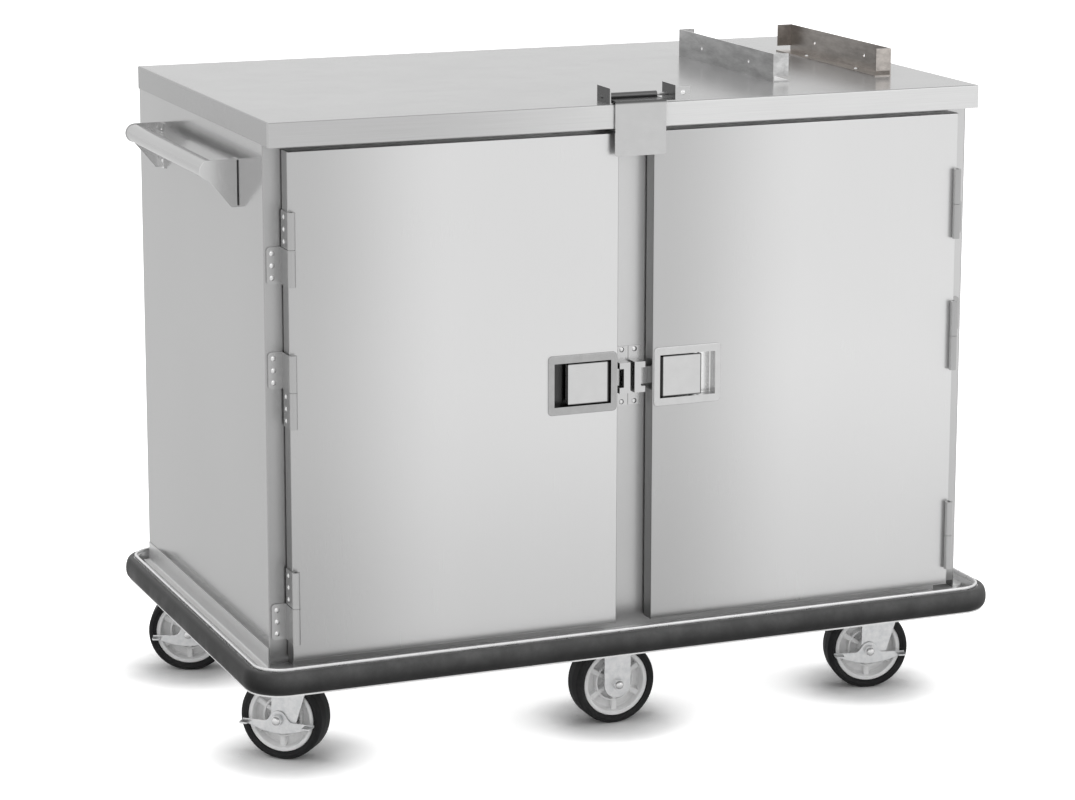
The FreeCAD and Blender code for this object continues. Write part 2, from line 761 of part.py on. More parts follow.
HINGES = (
    (f"({DOOR_TOP} - hinge_top_drop)", 1),
    (f"({DOOR_TOP} - hinge_middle_drop)", -1),
    (f"({DOOR_BOTTOM} + hinge_low_rise)", 1),
)
HINGE_SCREWS = (-1, 0, 1)


def leaf_middle(centre, way, on_door):
    """Height of a leaf's middle: door leaves are above the joint if way is 1."""
    lift = way if on_door else -way
    return f"({centre} + {lift}*(knuckle_tall + knuckle_gap)/2)"


def make_frame_leaf():
    """Frame leaf with its pin, for the left post. x and y are measured from
    the pin and z from the middle of the leaf; the pin points up."""
    made = body("frame_leaf")
    arm_outer = "(-knuckle_radius)"
    arm_inner = "(hinge_arm_gauge - knuckle_radius)"
    seat = f"({FRAME_FACE} - {HINGE_Y})"
    edge = f"({HINGE_X} - {BODY_SIDE} + hinge_edge_margin)"
    outline = [(edge, seat), (edge, f"{seat} - hinge_flange_gauge"),
               (arm_outer, f"{seat} - hinge_flange_gauge"), (arm_outer, "0"), (arm_inner, "0"),
               (arm_inner, seat)]
    pad(made, sketch(made, "XY", [outline]), "knuckle_tall", middle=True)
    edge_at = value(edge)
    round_edges(made, lambda e: along(e, 1) and at(e, 0, edge_at), "hinge_corner")
    pad(made, sketch(made, "XY", [("0", "0", "knuckle_radius")]), "knuckle_tall", middle=True)
    pad(made, sketch(made, "XY", [("0", "0", "hinge_pin_radius")], "knuckle_tall/2"), "pin_reach")
    holes = [(f"{HINGE_X} - {FRAME_SCREW_X}", f"{i}*hinge_screw_pitch", SCREW_HOLE)
             for i in HINGE_SCREWS]
    pocket(made, sketch(made, "XZ", holes, f"-({seat})"), "hinge_flange_gauge", back=True)
    return made


def make_door_leaf():
    """Door leaf for the left door, from the pin and the leaf's middle."""
    made = body("door_leaf")
    outer = f"(-({DOOR_OUTER} - {HINGE_X}) - hinge_arm_gauge)"
    inner = f"(-({DOOR_OUTER} - {HINGE_X}))"
    outline = rectangle(outer, "0", inner, f"{DOOR_BACK} - {HINGE_Y} - sheet_gauge")
    pad(made, sketch(made, "XY", [outline]), "knuckle_tall", middle=True)
    pad(made, sketch(made, "XY", [("0", "0", "knuckle_radius")]), "knuckle_tall", middle=True)
    pocket(made, sketch(made, "XY", [("0", "0", "hinge_pin_radius + running_clearance")]),
           middle=True)
    holes = [(DOOR_SCREW_Y, f"{i}*hinge_screw_pitch", SCREW_HOLE) for i in HINGE_SCREWS]
    pocket(made, sketch(made, "YZ", holes, inner), "hinge_arm_gauge")
    return made


def hinge_spots(side, on_door):
    """Where one door's leaves go; upside-down ones are turned over."""
    spots = []
    for centre, way in HINGES:
        over = () if way == 1 else (UP,)
        spots.append((f"{side}*{HINGE_X}", HINGE_Y, leaf_middle(centre, way, on_door),
                      mirrors_for(side) + over))
    return spots


def make_hinges():
    frame_leaf, door_leaf = make_frame_leaf(), make_door_leaf()
    made = [copies("hinge_frame_leaves", frame_leaf,
                   hinge_spots(LEFT, False) + hinge_spots(RIGHT, False))]
    for name, side in SIDES.items():
        made.append(copies("door_hinge_leaves_" + name, door_leaf, hinge_spots(side, True)))
    return made


def frame_leaf_screws():
    rows = []
    for side in SIDES.values():
        for centre, way in HINGES:
            for i in HINGE_SCREWS:
                height = f"{leaf_middle(centre, way, False)} + {i}*hinge_screw_pitch"
                rows.append((f"{side}*{FRAME_SCREW_X}", f"{FRAME_FACE} - hinge_flange_gauge", height,
                             -DEEP, "hinge_flange_gauge"))
    return rows


def make_door_screws(name, side):
    rows = []
    for centre, way in HINGES:
        for i in HINGE_SCREWS:
            height = f"{leaf_middle(centre, way, True)} + {i}*hinge_screw_pitch"
            rows.append((f"{side}*({DOOR_OUTER} + hinge_arm_gauge)", f"{HINGE_Y} + {DOOR_SCREW_Y}",
                         height, ACROSS * side, "hinge_arm_gauge"))
    return screw_group("door_screws_" + name, rows)


# ---- doors --------------------------------------------------------------

def door_rectangle(side, inset):
    low = f"{side}*({DOOR_OUTER} - ({inset}))"
    high = f"{side}*({DOOR_INNER} + ({inset}))"
    return rectangle(low, f"{DOOR_BOTTOM} + ({inset})", high, f"{DOOR_TOP} - ({inset})")


def latch_rectangle(side, wide, tall):
    middle = f"{side}*{LATCH_X}"
    return rectangle(f"{middle} - ({wide})/2", f"{LATCH_HEIGHT} - ({tall})/2",
                     f"{middle} + ({wide})/2", f"{LATCH_HEIGHT} + ({tall})/2")


def make_door_skin(name, side):
    """Outer pan of a door, with the latch cut-out and the bolt's slot."""
    made = body("door_skin_" + name, y=DOOR_FACE)
    pad(made, sketch(made, "XZ", [door_rectangle(side, "0")]), DOOR_DEPTH, back=True)
    pocket(made, sketch(made, "XZ", [door_rectangle(side, "sheet_gauge")], f"-{DOOR_DEPTH}"),
           f"{DOOR_DEPTH} - sheet_gauge", back=True)
    face = value(DOOR_FACE)
    round_edges(made, lambda e: at(e, 1, face), "door_bend")
    hole = latch_rectangle(side, "recess_wide + 2*(recess_wall + cutout_gap)",
                           "recess_tall + 2*(recess_wall + cutout_gap)")
    pocket(made, sketch(made, "XZ", [hole]), "2*sheet_gauge")
    slot = rectangle(f"{BOLT_Y} - bolt_gap/2 - {DOOR_FACE}",
                     f"{LATCH_HEIGHT} - bolt_tall/2 - bolt_gap",
                     f"{BOLT_Y} + bolt_thick + bolt_gap/2 - {DOOR_FACE}",
                     f"{LATCH_HEIGHT} + bolt_tall/2 + bolt_gap")
    pocket(made, sketch(made, "YZ", [slot], f"{side}*({DOOR_INNER} + sheet_gauge)"),
           "2*sheet_gauge", middle=True)
    return made


def make_door_liner(name, side):
    """Inner door panel: a plate with a dished middle that faces the bay."""
    made = body("door_liner_" + name, y=f"{DOOR_BACK} - liner_gauge")
    pad(made, sketch(made, "XZ", [door_rectangle(side, "sheet_gauge")]), "liner_gauge", back=True)
    dish = door_rectangle(side, "liner_margin")
    pad(made, sketch(made, "XZ", [dish]), "liner_gauge + liner_dish", back=True)
    hollow = door_rectangle(side, "liner_margin + liner_gauge")
    pocket(made, sketch(made, "XZ", [hollow]), "liner_dish")
    return made


def make_door_gasket(name, side):
    """Soft gasket ring on the back of a door, just clear of the frame."""
    made = body("door_gasket_" + name, y=DOOR_BACK)
    ring = [door_rectangle(side, "gasket_inset"), door_rectangle(side, "gasket_inset + gasket_wide")]
    pad(made, sketch(made, "XZ", ring), "gasket_thick", back=True)
    return made


def make_latch_housing(name, side):
    """Recessed latch pan with its bezel on the door's face."""
    made = body("latch_housing_" + name, y=DOOR_FACE)
    outer = latch_rectangle(side, "bezel_wide", "bezel_tall")
    pad(made, sketch(made, "XZ", [outer]), "bezel_gauge")
    front = value(f"{DOOR_FACE} - bezel_gauge")
    round_edges(made, lambda e: along(e, 1), "bezel_corner")
    round_edges(made, lambda e: at(e, 1, front), "bezel_round")
    box = latch_rectangle(side, "recess_wide + 2*recess_wall", "recess_tall + 2*recess_wall")
    pad(made, sketch(made, "XZ", [box]), "recess_deep + recess_wall", back=True)
    recess = latch_rectangle(side, "recess_wide", "recess_tall")
    pocket(made, sketch(made, "XZ", [recess], "bezel_gauge"), "bezel_gauge + recess_deep")
    seat = (f"{side}*{PADDLE_X}", f"{PADDLE_Y} - {DOOR_FACE}", "paddle_rod_radius + running_clearance")
    pocket(made, sketch(made, "XY", [seat], LATCH_HEIGHT), "recess_tall + 4*recess_wall", middle=True)
    return made


def make_latch_paddle(name, side):
    """Pull paddle: a plate with folded edges and the rod that it turns on."""
    made = body("latch_paddle_" + name, f"{side}*{PADDLE_X}", PADDLE_Y, LATCH_HEIGHT)
    far = f"{side}*paddle_wide"
    plate = rectangle("0", "-paddle_gauge", far, "0")
    pad(made, sketch(made, "XY", [plate]), "paddle_tall", middle=True)
    pad(made, sketch(made, "XY", [("0", "0", "paddle_knuckle")]), "paddle_tall", middle=True)
    pad(made, sketch(made, "XY", [("0", "0", "paddle_rod_radius")]),
        "recess_tall + 2*recess_wall - 2*paddle_rod_gap", middle=True)
    lip = rectangle(f"{side}*(paddle_wide - paddle_gauge)", "0", far, "paddle_lip")
    pad(made, sketch(made, "XY", [lip]), "paddle_tall", middle=True)
    tip = made.Placement.Base.x + value(far)
    round_edges(made, lambda e: along(e, 1) and at(e, 0, tip), "paddle_corner")
    return made


def make_latch_bolt(name, side):
    """Sliding bolt behind the latch pan, its nose bevelled on the shut side."""
    made = body("latch_bolt_" + name, f"{side}*{BOLT_TIP}", BOLT_Y, LATCH_HEIGHT)
    outline = [("0", "bolt_bevel/2"), (f"{side}*bolt_bevel", "0"), (f"{side}*bolt_length", "0"),
               (f"{side}*bolt_length", "bolt_thick"), (f"{side}*bolt_bevel", "bolt_thick"),
               ("0", "bolt_thick - bolt_bevel/2")]
    pad(made, sketch(made, "XY", [outline]), "bolt_tall", middle=True)
    return made


def make_latch_catches():
    """Box catches on the mullion, one for each door, with a mouth that the
    bolt swings into from the front. x is from the mullion's middle."""
    made = body("latch_catch")
    pad(made, sketch(made, "XZ", [rectangle("-catch_plate_wide", "-catch_plate_tall/2",
                                            "-gasket_clearance", "catch_plate_tall/2")]),
        "catch_plate_gauge")
    near = "-(catch_plate_wide - catch_box_wide)"
    far = "-catch_plate_wide"
    box = rectangle(far, "-catch_box_tall/2", near, "catch_box_tall/2")
    pad(made, sketch(made, "XZ", [box], "catch_plate_gauge"), "catch_box_deep")
    lip_edge = f"-({BOLT_TIP} - catch_lip_gap)"
    mouth = rectangle(f"{far} - cut_margin", "-catch_mouth_tall/2", lip_edge, "catch_mouth_tall/2")
    pocket(made, sketch(made, "XZ", [mouth], "catch_plate_gauge + catch_box_deep"), "catch_pocket_deep")
    cavity = rectangle(lip_edge, "-catch_mouth_tall/2", f"{near} - catch_back_wall",
                       "catch_mouth_tall/2")
    floor = "catch_plate_gauge + catch_box_deep - catch_pocket_deep"
    pocket(made, sketch(made, "XZ", [cavity], floor), "catch_pocket_deep - catch_lip_thick", back=True)
    holes = [("-catch_plate_wide/2", f"{i}*catch_screw_rise", SCREW_HOLE) for i in (-1, 1)]
    pocket(made, sketch(made, "XZ", holes, "catch_plate_gauge"), "catch_plate_gauge")
    return copies("latch_catches", made, [("0", FRAME_FACE, LATCH_HEIGHT, ()),
                                          ("0", FRAME_FACE, LATCH_HEIGHT, (ACROSS,))])


def catch_screws():
    return [(f"{side}*catch_plate_wide/2", f"{FRAME_FACE} - catch_plate_gauge",
             f"{LATCH_HEIGHT} + {i}*catch_screw_rise", -DEEP, "catch_plate_gauge")
            for side in SIDES.values() for i in (-1, 1)]


# ---- end handles --------------------------------------------------------

def make_end_handles():
    made = body("end_handle")
    pad(made, sketch(made, "XZ", [("0", "0", "handle_diameter/2"),
                                  ("0", "0", "handle_diameter/2 - handle_wall")]),
        "handle_length - 2*bracket_gauge", middle=True)
    return copies("end_handles", made,
                  [(f"{side}*{HANDLE_X}", "handle_centre", HANDLE_HEIGHT, ()) for side in SIDES.values()])


def make_handle_brackets():
    """Triangular gusset brackets that close the tube's ends. The web is at
    y = 0, its flange lies on the end panel at x = 0 and points to +Y."""
    made = body("handle_bracket")
    top = "handle_diameter/2 + bracket_rim"
    foot = f"({top} - bracket_tall)"
    web = [("0", foot), ("0", top), ("-handle_reach", top),
           ("-handle_reach - bracket_slope", "-bracket_slope"), ("-bracket_nose", foot)]
    pad(made, sketch(made, "XZ", [web]), "bracket_gauge", back=True)
    pad(made, sketch(made, "XZ", [("-handle_reach", "0", top)]), "bracket_gauge", back=True)
    flange = rectangle("-bracket_gauge", "0", "0", "bracket_flange")
    pad(made, sketch(made, "XY", [flange], foot), "bracket_tall")
    holes = [("(bracket_flange + bracket_gauge)/2", f"{top} - bracket_screw_inset", SCREW_HOLE),
             ("(bracket_flange + bracket_gauge)/2", f"{foot} + bracket_screw_inset", SCREW_HOLE)]
    pocket(made, sketch(made, "YZ", holes), "bracket_gauge")
    spots = []
    for side in SIDES.values():
        for end in (-1, 1):
            flip = (DEEP,) if end == 1 else ()
            spots.append((f"{side}*{BODY_SIDE}", f"handle_centre + {end}*handle_length/2",
                          HANDLE_HEIGHT, mirrors_for(side) + flip))
    return copies("handle_brackets", made, spots)


def bracket_screws():
    rows = []
    top = f"{HANDLE_HEIGHT} + handle_diameter/2 + bracket_rim"
    for side in SIDES.values():
        for end in (-1, 1):
            y = f"handle_centre + {end}*(handle_length/2 - (bracket_flange + bracket_gauge)/2)"
            for z in (f"{top} - bracket_screw_inset", f"{top} - bracket_tall + bracket_screw_inset"):
                rows.append((f"{side}*({BODY_SIDE} + bracket_gauge)", y, z, ACROSS * side,
                             "bracket_gauge"))
    return rows


# ---- cradle rails on the top --------------------------------------------

def make_cradle_rails():
    """Angle rails with folded end stops. The web's outer face is at x = 0."""
    made = body("cradle_rail")
    outline = [("0", "0"), ("cradle_foot", "0"), ("cradle_foot", "cradle_gauge"),
               ("cradle_gauge", "cradle_gauge"), ("cradle_gauge", "cradle_web"), ("0", "cradle_web")]
    pad(made, sketch(made, "XZ", [outline]), "cradle_length", middle=True)
    tab = rectangle("0", "cradle_web - cradle_tab_drop", "cradle_tab_wide", "cradle_web")
    pad(made, sketch(made, "XZ", [tab], "cradle_length/2"), "cradle_gauge", back=True)
    pad(made, sketch(made, "XZ", [tab], "-cradle_length/2"), "cradle_gauge")
    holes = [(f"{i}*cradle_hole_pitch/2", "cradle_web/2", "cradle_hole_radius") for i in (-1, 1)]
    pocket(made, sketch(made, "YZ", holes), "3*cradle_gauge", middle=True)
    feet = [("(cradle_foot + cradle_gauge)/2", f"{i}*cradle_hole_pitch/2", SCREW_HOLE)
            for i in (-1, 1)]
    pocket(made, sketch(made, "XY", feet), "3*cradle_gauge", middle=True)
    return copies("cradle_rails", made, [
        (f"{CRADLE_X} - cradle_spacing/2", "cradle_centre", "top_height", ()),
        (f"{CRADLE_X} + cradle_spacing/2", "cradle_centre", "top_height", (ACROSS,)),
    ])


def cradle_screws():
    rows = []
    for side in SIDES.values():
        x = f"{CRADLE_X} + {side}*(cradle_spacing/2 - (cradle_foot + cradle_gauge)/2)"
        for i in (-1, 1):
            rows.append((x, f"cradle_centre + {i}*cradle_hole_pitch/2", "top_height + cradle_gauge",
                         UP, "cradle_gauge"))
    return rows


# ---- travel latch -------------------------------------------------------
# A flap hinged on two ears that drops in front of both doors for transport.

def make_travel_latch_ears():
    """Two ears screwed to the top and the pin held between them."""
    shapes = []
    for name, side in SIDES.items():
        made = body("travel_ear_" + name, f"{side}*{name}_ear_offset",
                    f"{APRON_FRONT} + ear_setback", "top_height")
        inward = -side
        outline = [("0", "0"), (f"{inward}*(ear_foot + ear_gauge)", "0"),
                   (f"{inward}*(ear_foot + ear_gauge)", "ear_gauge"),
                   (f"{inward}*ear_gauge", "ear_gauge"), (f"{inward}*ear_gauge", "ear_tall"),
                   ("0", "ear_tall")]
        pad(made, sketch(made, "XZ", [outline]), "ear_deep", back=True)
        if side == RIGHT:
            tab = rectangle("0", "ear_tab_rise", "ear_tab_wide", "ear_tab_rise + ear_tab_tall")
            pad(made, sketch(made, "XZ", [tab]), "ear_gauge", back=True)
            hole = ("ear_tab_wide/2", "ear_tab_rise + ear_tab_tall/2", SCREW_HOLE)
            pocket(made, sketch(made, "XZ", [hole]), "ear_gauge")
        seat = ("travel_pin_setback - ear_setback", f"{TRAVEL_Z} - top_height",
                "travel_pin_radius")
        pocket(made, sketch(made, "YZ", [seat]), "3*ear_gauge", middle=True)
        shapes.append(made.Shape.copy())
    left_end = value("-left_ear_offset - ear_gauge")
    length = value("left_ear_offset + right_ear_offset + 2*ear_gauge")
    pin = Part.makeCylinder(value("travel_pin_radius"), length,
                            Vector(left_end, value(TRAVEL_Y), value(TRAVEL_Z)), ACROSS)
    made = doc.addObject("Part::Feature", "travel_latch_ears")
    made.Shape = Part.makeCompound(shapes + [pin])
    made.Label = "travel_latch_ears"
    return made


def make_travel_latch_flap():
    """The flap: a rolled knuckle, a short return and the plate that hangs in
    front of the doors. y and z are measured from the pin."""
    made = body("travel_latch_flap", "travel_shift", TRAVEL_Y, TRAVEL_Z)
    front = f"({TRAVEL_FRONT} - {TRAVEL_Y})"
    low = "(travel_gauge/2 - travel_knuckle)"
    foot = f"({low} - travel_drop)"
    outline = [("0", low), ("0", f"{low} + travel_gauge"), (front, f"{low} + travel_gauge"),
               (front, foot), (f"{front} + travel_gauge", foot), (f"{front} + travel_gauge", low)]
    pad(made, sketch(made, "YZ", [outline]), "travel_wide", middle=True)
    foot_at = value(f"{TRAVEL_Z} + {foot}")
    round_edges(made, lambda e: along(e, 1) and at(e, 2, foot_at), "travel_corner")
    pad(made, sketch(made, "YZ", [("0", "0", "travel_knuckle")]), "travel_wide", middle=True)
    pocket(made, sketch(made, "YZ", [("0", "0", "travel_pin_radius + running_clearance")]),
           "2*travel_wide", middle=True)
    return made


def ear_tab_screw():
    return [("right_ear_offset + ear_tab_wide/2", f"{APRON_FRONT} + ear_setback",
             "top_height + ear_tab_rise + ear_tab_tall/2", -DEEP, "ear_gauge")]


# ---- casters ------------------------------------------------------------

def make_swivel_plates():
    """Top plates of the swivel casters, each with its race and kingpin."""
    made = body("swivel_plate")
    pad(made, sketch(made, "XY", [centred("plate_long", "plate_wide")], PLATE_UNDERSIDE), "plate_gauge")
    round_edges(made, lambda e: along(e, 2), "caster_bolt_head")
    pocket(made, sketch(made, "XY", caster_bolt_circles("0", "0", "screw_hole_gap"), DECK_UNDERSIDE),
           "plate_gauge")
    pad(made, sketch(made, "XY", [("0", "0", "race_radius")], PLATE_UNDERSIDE), "race_tall", back=True)
    pad(made, sketch(made, "XY", [("0", "0", "kingpin_radius")], f"{PLATE_UNDERSIDE} - race_tall"),
        "crown_gauge + 3*race_gap", back=True)
    pad(made, sketch(made, "XY", [("0", "0", "kingpin_head")], f"{CROWN_UNDERSIDE} - race_gap"),
        "kingpin_head_tall", back=True)
    return copies("swivel_plates", made, [(x, y, "0", ()) for x, y, _ in CASTER_SPOTS.values()])


def fork_legs(made, corners, centre, nose):
    """The two legs of a fork: flat plates with a round nose at the axle,
    which is at x = centre."""
    for way in (-1, 1):
        start = f"{way}*{LEG_INNER}"
        for loop in (corners, (centre, AXLE_HEIGHT, nose)):
            pad(made, sketch(made, "XZ", [loop], f"-({start})"), "leg_gauge", back=(way == 1))


def bore_legs(made, centre):
    pocket(made, sketch(made, "XZ", [(centre, AXLE_HEIGHT, "axle_radius + axle_clearance")]),
           f"4*{LEG_OUTER}", middle=True)


def axle_shape(centre_x, outward):
    """Axle bolt with its head at the back and a nut at the front of the fork."""
    radius, half = value("axle_radius"), value(LEG_OUTER)
    front = half + outward
    height = value(AXLE_HEIGHT)
    shank = Part.makeCylinder(radius, front + half, Vector(centre_x, -front, height), DEEP)
    head = Part.makeCylinder(value("nut_radius"), value("axle_head_tall"),
                             Vector(centre_x, half, height), DEEP)
    nut = hexagon(value("nut_radius"), value("nut_tall"))
    nut.Placement = Placement(Vector(centre_x, -front, height), Rotation(UP, -DEEP))
    return shank.fuse(head).fuse(nut).removeSplitter()


def hexagon(radius, tall):
    corners = [Vector(radius * math.cos(math.pi * i / 3), radius * math.sin(math.pi * i / 3), 0)
               for i in range(7)]
    return Part.Face(Part.makePolygon(corners)).extrude(Vector(0, 0, tall))


def make_swivel_fork(name, x, y, turn):
    """Swivel fork with its axle bolt: the crown turns on the race."""
    blank = body("fork_blank_" + name, x, y, "0", turn)
    half = LEG_OUTER
    crown = rectangle("-crown_back", f"-{half}", "crown_front", half)
    pad(blank, sketch(blank, "XY", [crown], CROWN_UNDERSIDE), "crown_gauge")
    corners = [("-leg_top_back", CROWN_TOP), ("leg_top_front", CROWN_TOP),
               ("leg_heel - caster_trail", f"{AXLE_HEIGHT} - leg_heel_drop"),
               ("-caster_trail", f"{AXLE_HEIGHT} - leg_nose"),
               ("-leg_nose - caster_trail", AXLE_HEIGHT)]
    fork_legs(blank, corners, "-caster_trail", "leg_nose")
    bore_legs(blank, "-caster_trail")
    pocket(blank, sketch(blank, "XY", [("0", "0", "kingpin_radius + axle_clearance")], CROWN_TOP),
           "2*crown_gauge", middle=True)
    axle = axle_shape(-value("caster_trail"), value("brake_gauge + 2*brake_gap"))
    axle.Placement = blank.Placement.multiply(axle.Placement)
    made = doc.addObject("Part::Feature", "caster_fork_" + name)
    made.Shape = Part.makeCompound([blank.Shape.copy(), axle])
    made.Label = "caster_fork_" + name
    return made


def make_rigid_forks():
    """The two fixed casters under the middle, each fork with its plate."""
    blank = body("rigid_fork")
    pad(blank, sketch(blank, "XY", [centred("plate_long", "plate_wide")], PLATE_UNDERSIDE), "plate_gauge")
    round_edges(blank, lambda e: along(e, 2), "caster_bolt_head")
    pocket(blank, sketch(blank, "XY", caster_bolt_circles("0", "0", "screw_hole_gap"), DECK_UNDERSIDE),
           "plate_gauge")
    half = "rigid_leg_wide/2"
    fork_legs(blank, rectangle(f"-{half}", AXLE_HEIGHT, half, PLATE_UNDERSIDE), "0", half)
    bore_legs(blank, "0")
    axle = axle_shape(0, 0)
    shapes = []
    for x, y in RIGID_SPOTS.values():
        for piece in (blank.Shape.copy(), axle.copy()):
            piece.translate(Vector(value(x), value(y), 0))
            shapes.append(piece)
    made = doc.addObject("Part::Feature", "rigid_forks")
    made.Shape = Part.makeCompound(shapes)
    made.Label = "rigid_forks"
    return made


def wheel_body(label, x, y, trail, turn):
    """A body whose origin is the wheel's centre, its own Y along the axle."""
    return body(label, f"{x} - {trail}*cos({turn} * 1 deg)", f"{y} - {trail}*sin({turn} * 1 deg)",
                AXLE_HEIGHT, turn)


def make_wheel_core(name, x, y, trail, turn):
    """Wheel centre: hub, thin web, rim and raised ribs on both faces."""
    made = wheel_body("wheel_core_" + name, x, y, trail, turn)

    def ring(loops, wide):
        return pad(made, sketch(made, "XZ", loops), wide, middle=True)

    ring([("0", "0", "rim_diameter/2")], "wheel_web")
    ring([("0", "0", "hub_radius")], "hub_wide")
    ring([("0", "0", "rim_diameter/2"), ("0", "0", "rim_diameter/2 - rim_lip")], "rim_wide")
    bar = rectangle("-rib_thick/2", "0", "rib_thick/2", "rim_diameter/2 - rim_lip/2")
    rib = ring([bar], "rib_wide")
    pattern = made.newObject("PartDesign::PolarPattern", "wheel_ribs_" + name)
    pattern.Originals = [rib]
    pattern.Axis = (rib.Profile[0], ["N_Axis"])
    pattern.Angle = 360
    pattern.setExpression("Occurrences", bound("rib_count"))
    made.Tip = pattern
    doc.recompute()
    pocket(made, sketch(made, "XZ", [("0", "0", "axle_radius + axle_clearance")]), "2*hub_wide",
           middle=True)
    return made


def make_tyre(name, x, y, trail, turn):
    made = wheel_body("tyre_" + name, x, y, trail, turn)
    circles = [("0", "0", "wheel_diameter/2"), ("0", "0", "rim_diameter/2")]
    pad(made, sketch(made, "XZ", circles), "tyre_wide", middle=True)
    radius = value("wheel_diameter/2")
    round_edges(made, lambda e: isinstance(e.Curve, Part.Circle) and
                abs(e.Curve.Radius - radius) < 0.01, "tyre_round")
    return made


def make_brake_pedal(name, x, y, turn):
    """Rocker brake on the axle, with a foot tab folded out at each end."""
    made = wheel_body("brake_pedal_" + name, x, y, "caster_trail", turn)
    start = f"({LEG_OUTER} + brake_gap)"
    low, high = "(-brake_tip_drop)", "(brake_gauge - brake_tip_drop)"
    arm = [("-brake_half_span", low), ("-brake_hub/2", "-brake_belly"),
           ("brake_hub/2", "-brake_belly"), ("brake_half_span", low), ("brake_half_span", high),
           ("brake_hub", "brake_crest"), ("-brake_hub", "brake_crest"), ("-brake_half_span", high)]
    pad(made, sketch(made, "XZ", [arm], start), "brake_gauge")
    pad(made, sketch(made, "XZ", [("0", "0", "brake_hub")], start), "brake_gauge")
    for way in (-1, 1):
        tab = rectangle(f"{way}*(brake_half_span - brake_tab_long)", low,
                        f"{way}*brake_half_span", high)
        pad(made, sketch(made, "XZ", [tab], start), "brake_tab_deep")
    pocket(made, sketch(made, "XZ", [("0", "0", "axle_radius + axle_clearance")]),
           f"4*{LEG_OUTER}", middle=True)
    return made


def make_caster_bolts():
    """Hexagon-headed bolts through plate and deck, nuts inside the channels."""
    shank = value("plate_gauge + deck_gauge + caster_nut_tall")
    head_tall, nut_tall = value("caster_bolt_head_tall"), value("caster_nut_tall")
    radius = value("caster_bolt_head")
    low, high = value(PLATE_UNDERSIDE), value(DECK_TOP)
    head = hexagon(radius, head_tall)
    head.translate(Vector(0, 0, low - head_tall))
    nut = hexagon(radius, nut_tall)
    nut.translate(Vector(0, 0, high))
    one = Part.makeCylinder(value("caster_bolt_radius"), shank, Vector(0, 0, low)).fuse([head, nut])
    shapes = []
    for spot in list(CASTER_SPOTS.values()) + list(RIGID_SPOTS.values()):
        for i in (-1, 1):
            for j in (-1, 1):
                piece = one.copy()
                piece.translate(Vector(value(f"{spot[0]} + {i}*bolt_spacing_long/2"),
                                       value(f"{spot[1]} + {j}*bolt_spacing_wide/2"), 0))
                shapes.append(piece)
    made = doc.addObject("Part::Feature", "caster_bolts")
    made.Shape = Part.makeCompound(shapes)
    made.Label = "caster_bolts"
    return made


def make_casters():
    made = [make_swivel_plates(), make_rigid_forks(), make_caster_bolts()]
    for name, (x, y, turn) in CASTER_SPOTS.items():
        made.append(make_swivel_fork(name, x, y, turn))
        made.append(make_brake_pedal(name, x, y, turn))
        made.append(make_wheel_core(name, x, y, "caster_trail", turn))
        made.append(make_tyre(name, x, y, "caster_trail", turn))
    for name, (x, y) in RIGID_SPOTS.items():
        made.append(make_wheel_core(name, x, y, "0", "0"))
        made.append(make_tyre(name, x, y, "0", "0"))
    return made


def make_door(name, side):
    return [make_door_skin(name, side), make_door_liner(name, side), make_door_gasket(name, side),
            make_latch_housing(name, side), make_door_screws(name, side),
            make_latch_paddle(name, side), make_latch_bolt(name, side)]


def make_cart():
    made = [make_top_panel(), make_back_panel(), make_cabinet_floor(), make_front_frame(),
            make_centre_divider(), make_tray_racks(), make_base_deck(), make_cross_members(),
            make_bumper_channel(), make_bumper_rubber(), make_latch_catches(),
            make_end_handles(), make_handle_brackets(), make_cradle_rails(),
            make_travel_latch_ears(), make_travel_latch_flap()]
    made += make_hinges()
    made += make_casters()
    for name, side in SIDES.items():
        made.append(make_side_panel(name, side))
        made += make_door(name, side)
    made.append(screw_group("cabinet_screws", frame_leaf_screws() + catch_screws() +
                            bracket_screws() + cradle_screws() + ear_tab_screw()))
    return made


nodes = make_cart()
doc.recompute()
for thing in doc.Objects:
    if any(flag in thing.State for flag in ("Invalid", "Error")):
        raise RuntimeError(f"{thing.Label} failed to build")
unsound = [node.Label for node in nodes if node.Shape.isNull() or not node.Shape.isValid()]
if unsound:
    raise RuntimeError("no sound shape: " + ", ".join(unsound))

os.makedirs("parts", exist_ok=True)
for node in nodes:
    node.Shape.exportStep(f"parts/{node.Label}.step")
print(len(nodes), "nodes,", sum(len(node.Shape.Solids) for node in nodes), "solids")
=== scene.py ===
import json
import math

import bmesh
import bpy
from mathutils import Matrix, Vector


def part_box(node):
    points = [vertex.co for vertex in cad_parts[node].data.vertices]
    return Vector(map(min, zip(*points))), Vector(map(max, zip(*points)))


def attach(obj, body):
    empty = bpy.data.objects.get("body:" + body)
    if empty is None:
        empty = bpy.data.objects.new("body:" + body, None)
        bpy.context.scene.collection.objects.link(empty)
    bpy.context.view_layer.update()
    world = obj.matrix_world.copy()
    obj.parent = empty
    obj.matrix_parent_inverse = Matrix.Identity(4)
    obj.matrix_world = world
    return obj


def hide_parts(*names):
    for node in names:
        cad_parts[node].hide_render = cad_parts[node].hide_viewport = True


# Enclosed meal tray cart, dressed for a studio picture. Lengths are in metres
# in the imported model's own frame: +X along the cart, doors facing -Y, +Z up.

